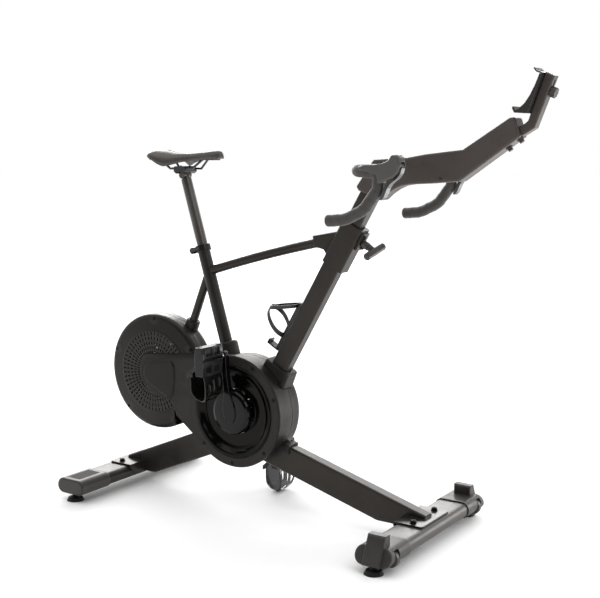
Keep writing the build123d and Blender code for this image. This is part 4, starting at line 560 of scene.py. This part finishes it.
for j in range(NS + 1):
    for i in range(NU + 1):
        u = i / NU
        u = u + 0.10 * math.sin(2 * math.pi * u) / (2 * math.pi) * -1.0
        s = -1.0 + 2.0 * j / NS
        s = math.sin(s * math.pi / 2) * 0.35 + s * 0.65
        s = max(-1.0, min(1.0, s))
        x, w, zt, zl, mid = saddle_point(u, s)
        plate = min(max(zl, 1024.2), zt - 4.0) if -334 < x < -104 else zl
        plate = 1024.25 if (-330 < x < -106 and zt > 1032) else plate
        t = min(1.0, max(0.0, (1.0 - abs(s)) / 0.16))
        t = t * t * (3 - 2 * t)
        ends = min(1.0, max(0.0, min(X_NOSE - x, x - X_TAIL) / 22.0))
        z = zl + (plate - zl) * t * ends
        z = min(z, zt - 0.02 if abs(s) < 1 else zt)
        verts.append(P(x, s * w * 0.999, z))


def vid(i, j, under=0):
    return under * top_n + j * (NU + 1) + i


for j in range(NS):
    for i in range(NU):
        faces.append((vid(i, j), vid(i + 1, j), vid(i + 1, j + 1), vid(i, j + 1)))
        ids.append(0)
        faces.append((vid(i, j, 1), vid(i, j + 1, 1), vid(i + 1, j + 1, 1), vid(i + 1, j, 1)))
        ids.append(1)
for i in range(NU):
    for j, flip in ((0, False), (NS, True)):
        f = (vid(i, j), vid(i, j, 1), vid(i + 1, j, 1), vid(i + 1, j))
        faces.append(f[::-1] if flip else f)
        ids.append(0)
for j in range(NS):
    for i, flip in ((0, True), (NU, False)):
        f = (vid(i, j), vid(i, j, 1), vid(i, j + 1, 1), vid(i, j + 1))
        faces.append(f[::-1] if flip else f)
        ids.append(0)
saddle = mesh_object("saddle_cover", verts, faces, [M["pad"], M["shell"]], ids)
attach(saddle, frame_body("saddle_pad"))
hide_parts("saddle_pad", "saddle_base")


def fillet_path(points, radii):
    """Points along a polyline whose inner corners are rounded."""
    pts = [Vector(p) for p in points]
    out = [pts[0]]
    for k in range(1, len(pts) - 1):
        a, b_, c = pts[k - 1], pts[k], pts[k + 1]
        d1, d2 = (a - b_).normalized(), (c - b_).normalized()
        ang = d1.angle(d2)
        r = radii[k - 1]
        t = r / math.tan(ang / 2)
        p1, p2 = b_ + d1 * t, b_ + d2 * t
        centre = b_ + (d1 + d2).normalized() * (r / math.sin(ang / 2))
        v1, v2 = (p1 - centre), (p2 - centre)
        sweep_a = v1.angle(v2)
        axis = v1.cross(v2).normalized()
        nseg = max(4, int(r * sweep_a / 1.0))
        for i in range(nseg + 1):
            out.append(centre + Matrix.Rotation(sweep_a * i / nseg, 3, axis) @ v1)
    out.append(pts[-1])
    # resample every 1 mm
    res, acc = [out[0].copy()], 0.0
    for p, q_ in zip(out, out[1:]):
        seg = (q_ - p).length
        if seg < 1e-9:
            continue
        d = (q_ - p) / seg
        pos = 1.0 - acc
        while pos <= seg:
            res.append(p + d * pos)
            pos += 1.0
        acc = seg - (pos - 1.0)
    res.append(out[-1].copy())
    return res


def wrapped_bar(side):
    """Grip tape: overlapping turns wound round one half of the bar, with an end plug."""
    H = 205.0 * side
    pts = [(BAR_XZ[0], 0.0, BAR_XZ[1]), (BAR_XZ[0], H, BAR_XZ[1]), (556.0, H, 999.0), (557.0, H, 958.0), (516.0, H, 906.0), (462.0, H, 880.0), (409.5, H, 875.5)]
    line = fillet_path(pts, (42.0, 19.0, 30.0, 60.0, 80.0))
    k0 = next(i for i, p in enumerate(line) if abs(p.y) >= 62.0)
    line = line[k0:]
    n = 40
    verts, faces = [], []
    tan = [(line[min(i + 1, len(line) - 1)] - line[max(i - 1, 0)]).normalized() for i in range(len(line))]
    ref = Vector((0, 0, 1))
    ref = (ref - tan[0] * ref.dot(tan[0])).normalized()
    rows = []
    L = float(len(line) - 1)
    for i, p in enumerate(line):
        ref = (ref - tan[i] * ref.dot(tan[i])).normalized()
        b2 = tan[i].cross(ref)
        row = []
        endf = min(1.0, i / 2.0)
        tailf = min(1.0, (L - i) / 3.0)
        for k in range(n):
            a = 2 * math.pi * k / n
            ph = (i / 26.0 + side * k / n) % 1.0
            lap = 0.75 * min(1.0, (1.0 - ph) / 0.97) if ph > 0.03 else 0.75 * ph / 0.03
            r = 14.75 + lap
            r += 0.10 * math.sin(3 * a + i * 0.05) + 0.05 * math.sin(i * 0.31 + 5 * a)
            r = 12.3 + (r - 12.3) * math.sqrt(endf) * (1.0 - (1.0 - tailf) ** 2 * 0.5)
            row.append(len(verts))
            verts.append(P(*(p + (ref * math.cos(a) + b2 * math.sin(a)) * r)))
        rows.append(row)
    for r0, r1 in zip(rows, rows[1:]):
        for k in range(n):
            faces.append((r0[k], r0[(k + 1) % n], r1[(k + 1) % n], r1[k]))
    # ends: a flat ring inside at the boom, a domed plug at the drop's end
    inner = []
    p = line[0]
    faces.append(tuple(rows[0][::-1]))
    prev = rows[-1]
    p, t = line[-1], tan[-1]
    b2 = t.cross(ref)
    for rr, off in ((13.4, 0.1), (13.3, 0.5), (12.0, 0.9), (8.0, 1.5), (4.0, 1.8)):
        row = []
        for k in range(n):
            a = 2 * math.pi * k / n
            row.append(len(verts))
            verts.append(P(*(p + (ref * math.cos(a) + b2 * math.sin(a)) * rr + t * off)))
        for k in range(n):
            faces.append((prev[k], prev[(k + 1) % n], row[(k + 1) % n], row[k]))
        prev = row
    faces.append(tuple(prev))
    return verts, faces


v1, f1 = wrapped_bar(-1)
v2, f2 = wrapped_bar(1)
tape = mesh_object("wrapped_tape", v1 + v2, f1 + [tuple(i + len(v1) for i in f) for f in f2], [M["tape"]])
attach(tape, frame_body("bar_tape"))
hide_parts("bar_tape")


def rubbery(node_name, new_name, voxel, rounds, material, body_node):
    """A moulded rubber skin: the piece remeshed finely and its edges relaxed."""
    src = N[node_name]
    me = src.data.copy()
    o = bpy.data.objects.new(new_name, me)
    bpy.context.scene.collection.objects.link(o)
    bpy.context.view_layer.update()
    o.matrix_world = src.matrix_world.copy()
    rm = o.modifiers.new("remesh", "REMESH")
    rm.mode = "VOXEL"
    rm.voxel_size = voxel
    rm.use_smooth_shade = True
    sm = o.modifiers.new("relax", "SMOOTH")
    sm.factor = 0.5
    sm.iterations = rounds
    bpy.context.view_layer.update()
    dg = bpy.context.evaluated_depsgraph_get()
    out = bpy.data.meshes.new_from_object(o.evaluated_get(dg))
    o.modifiers.clear()
    o.data = out
    out.materials.clear()
    out.materials.append(material)
    out.polygons.foreach_set("material_index", [0] * len(out.polygons))
    out.polygons.foreach_set("use_smooth", [True] * len(out.polygons))
    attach(o, frame_body(body_node))
    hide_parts(node_name)
    return o


hoods = rubbery("lever_hoods", "hood_skins", 0.0013, 14, M["hood"], "lever_hoods")
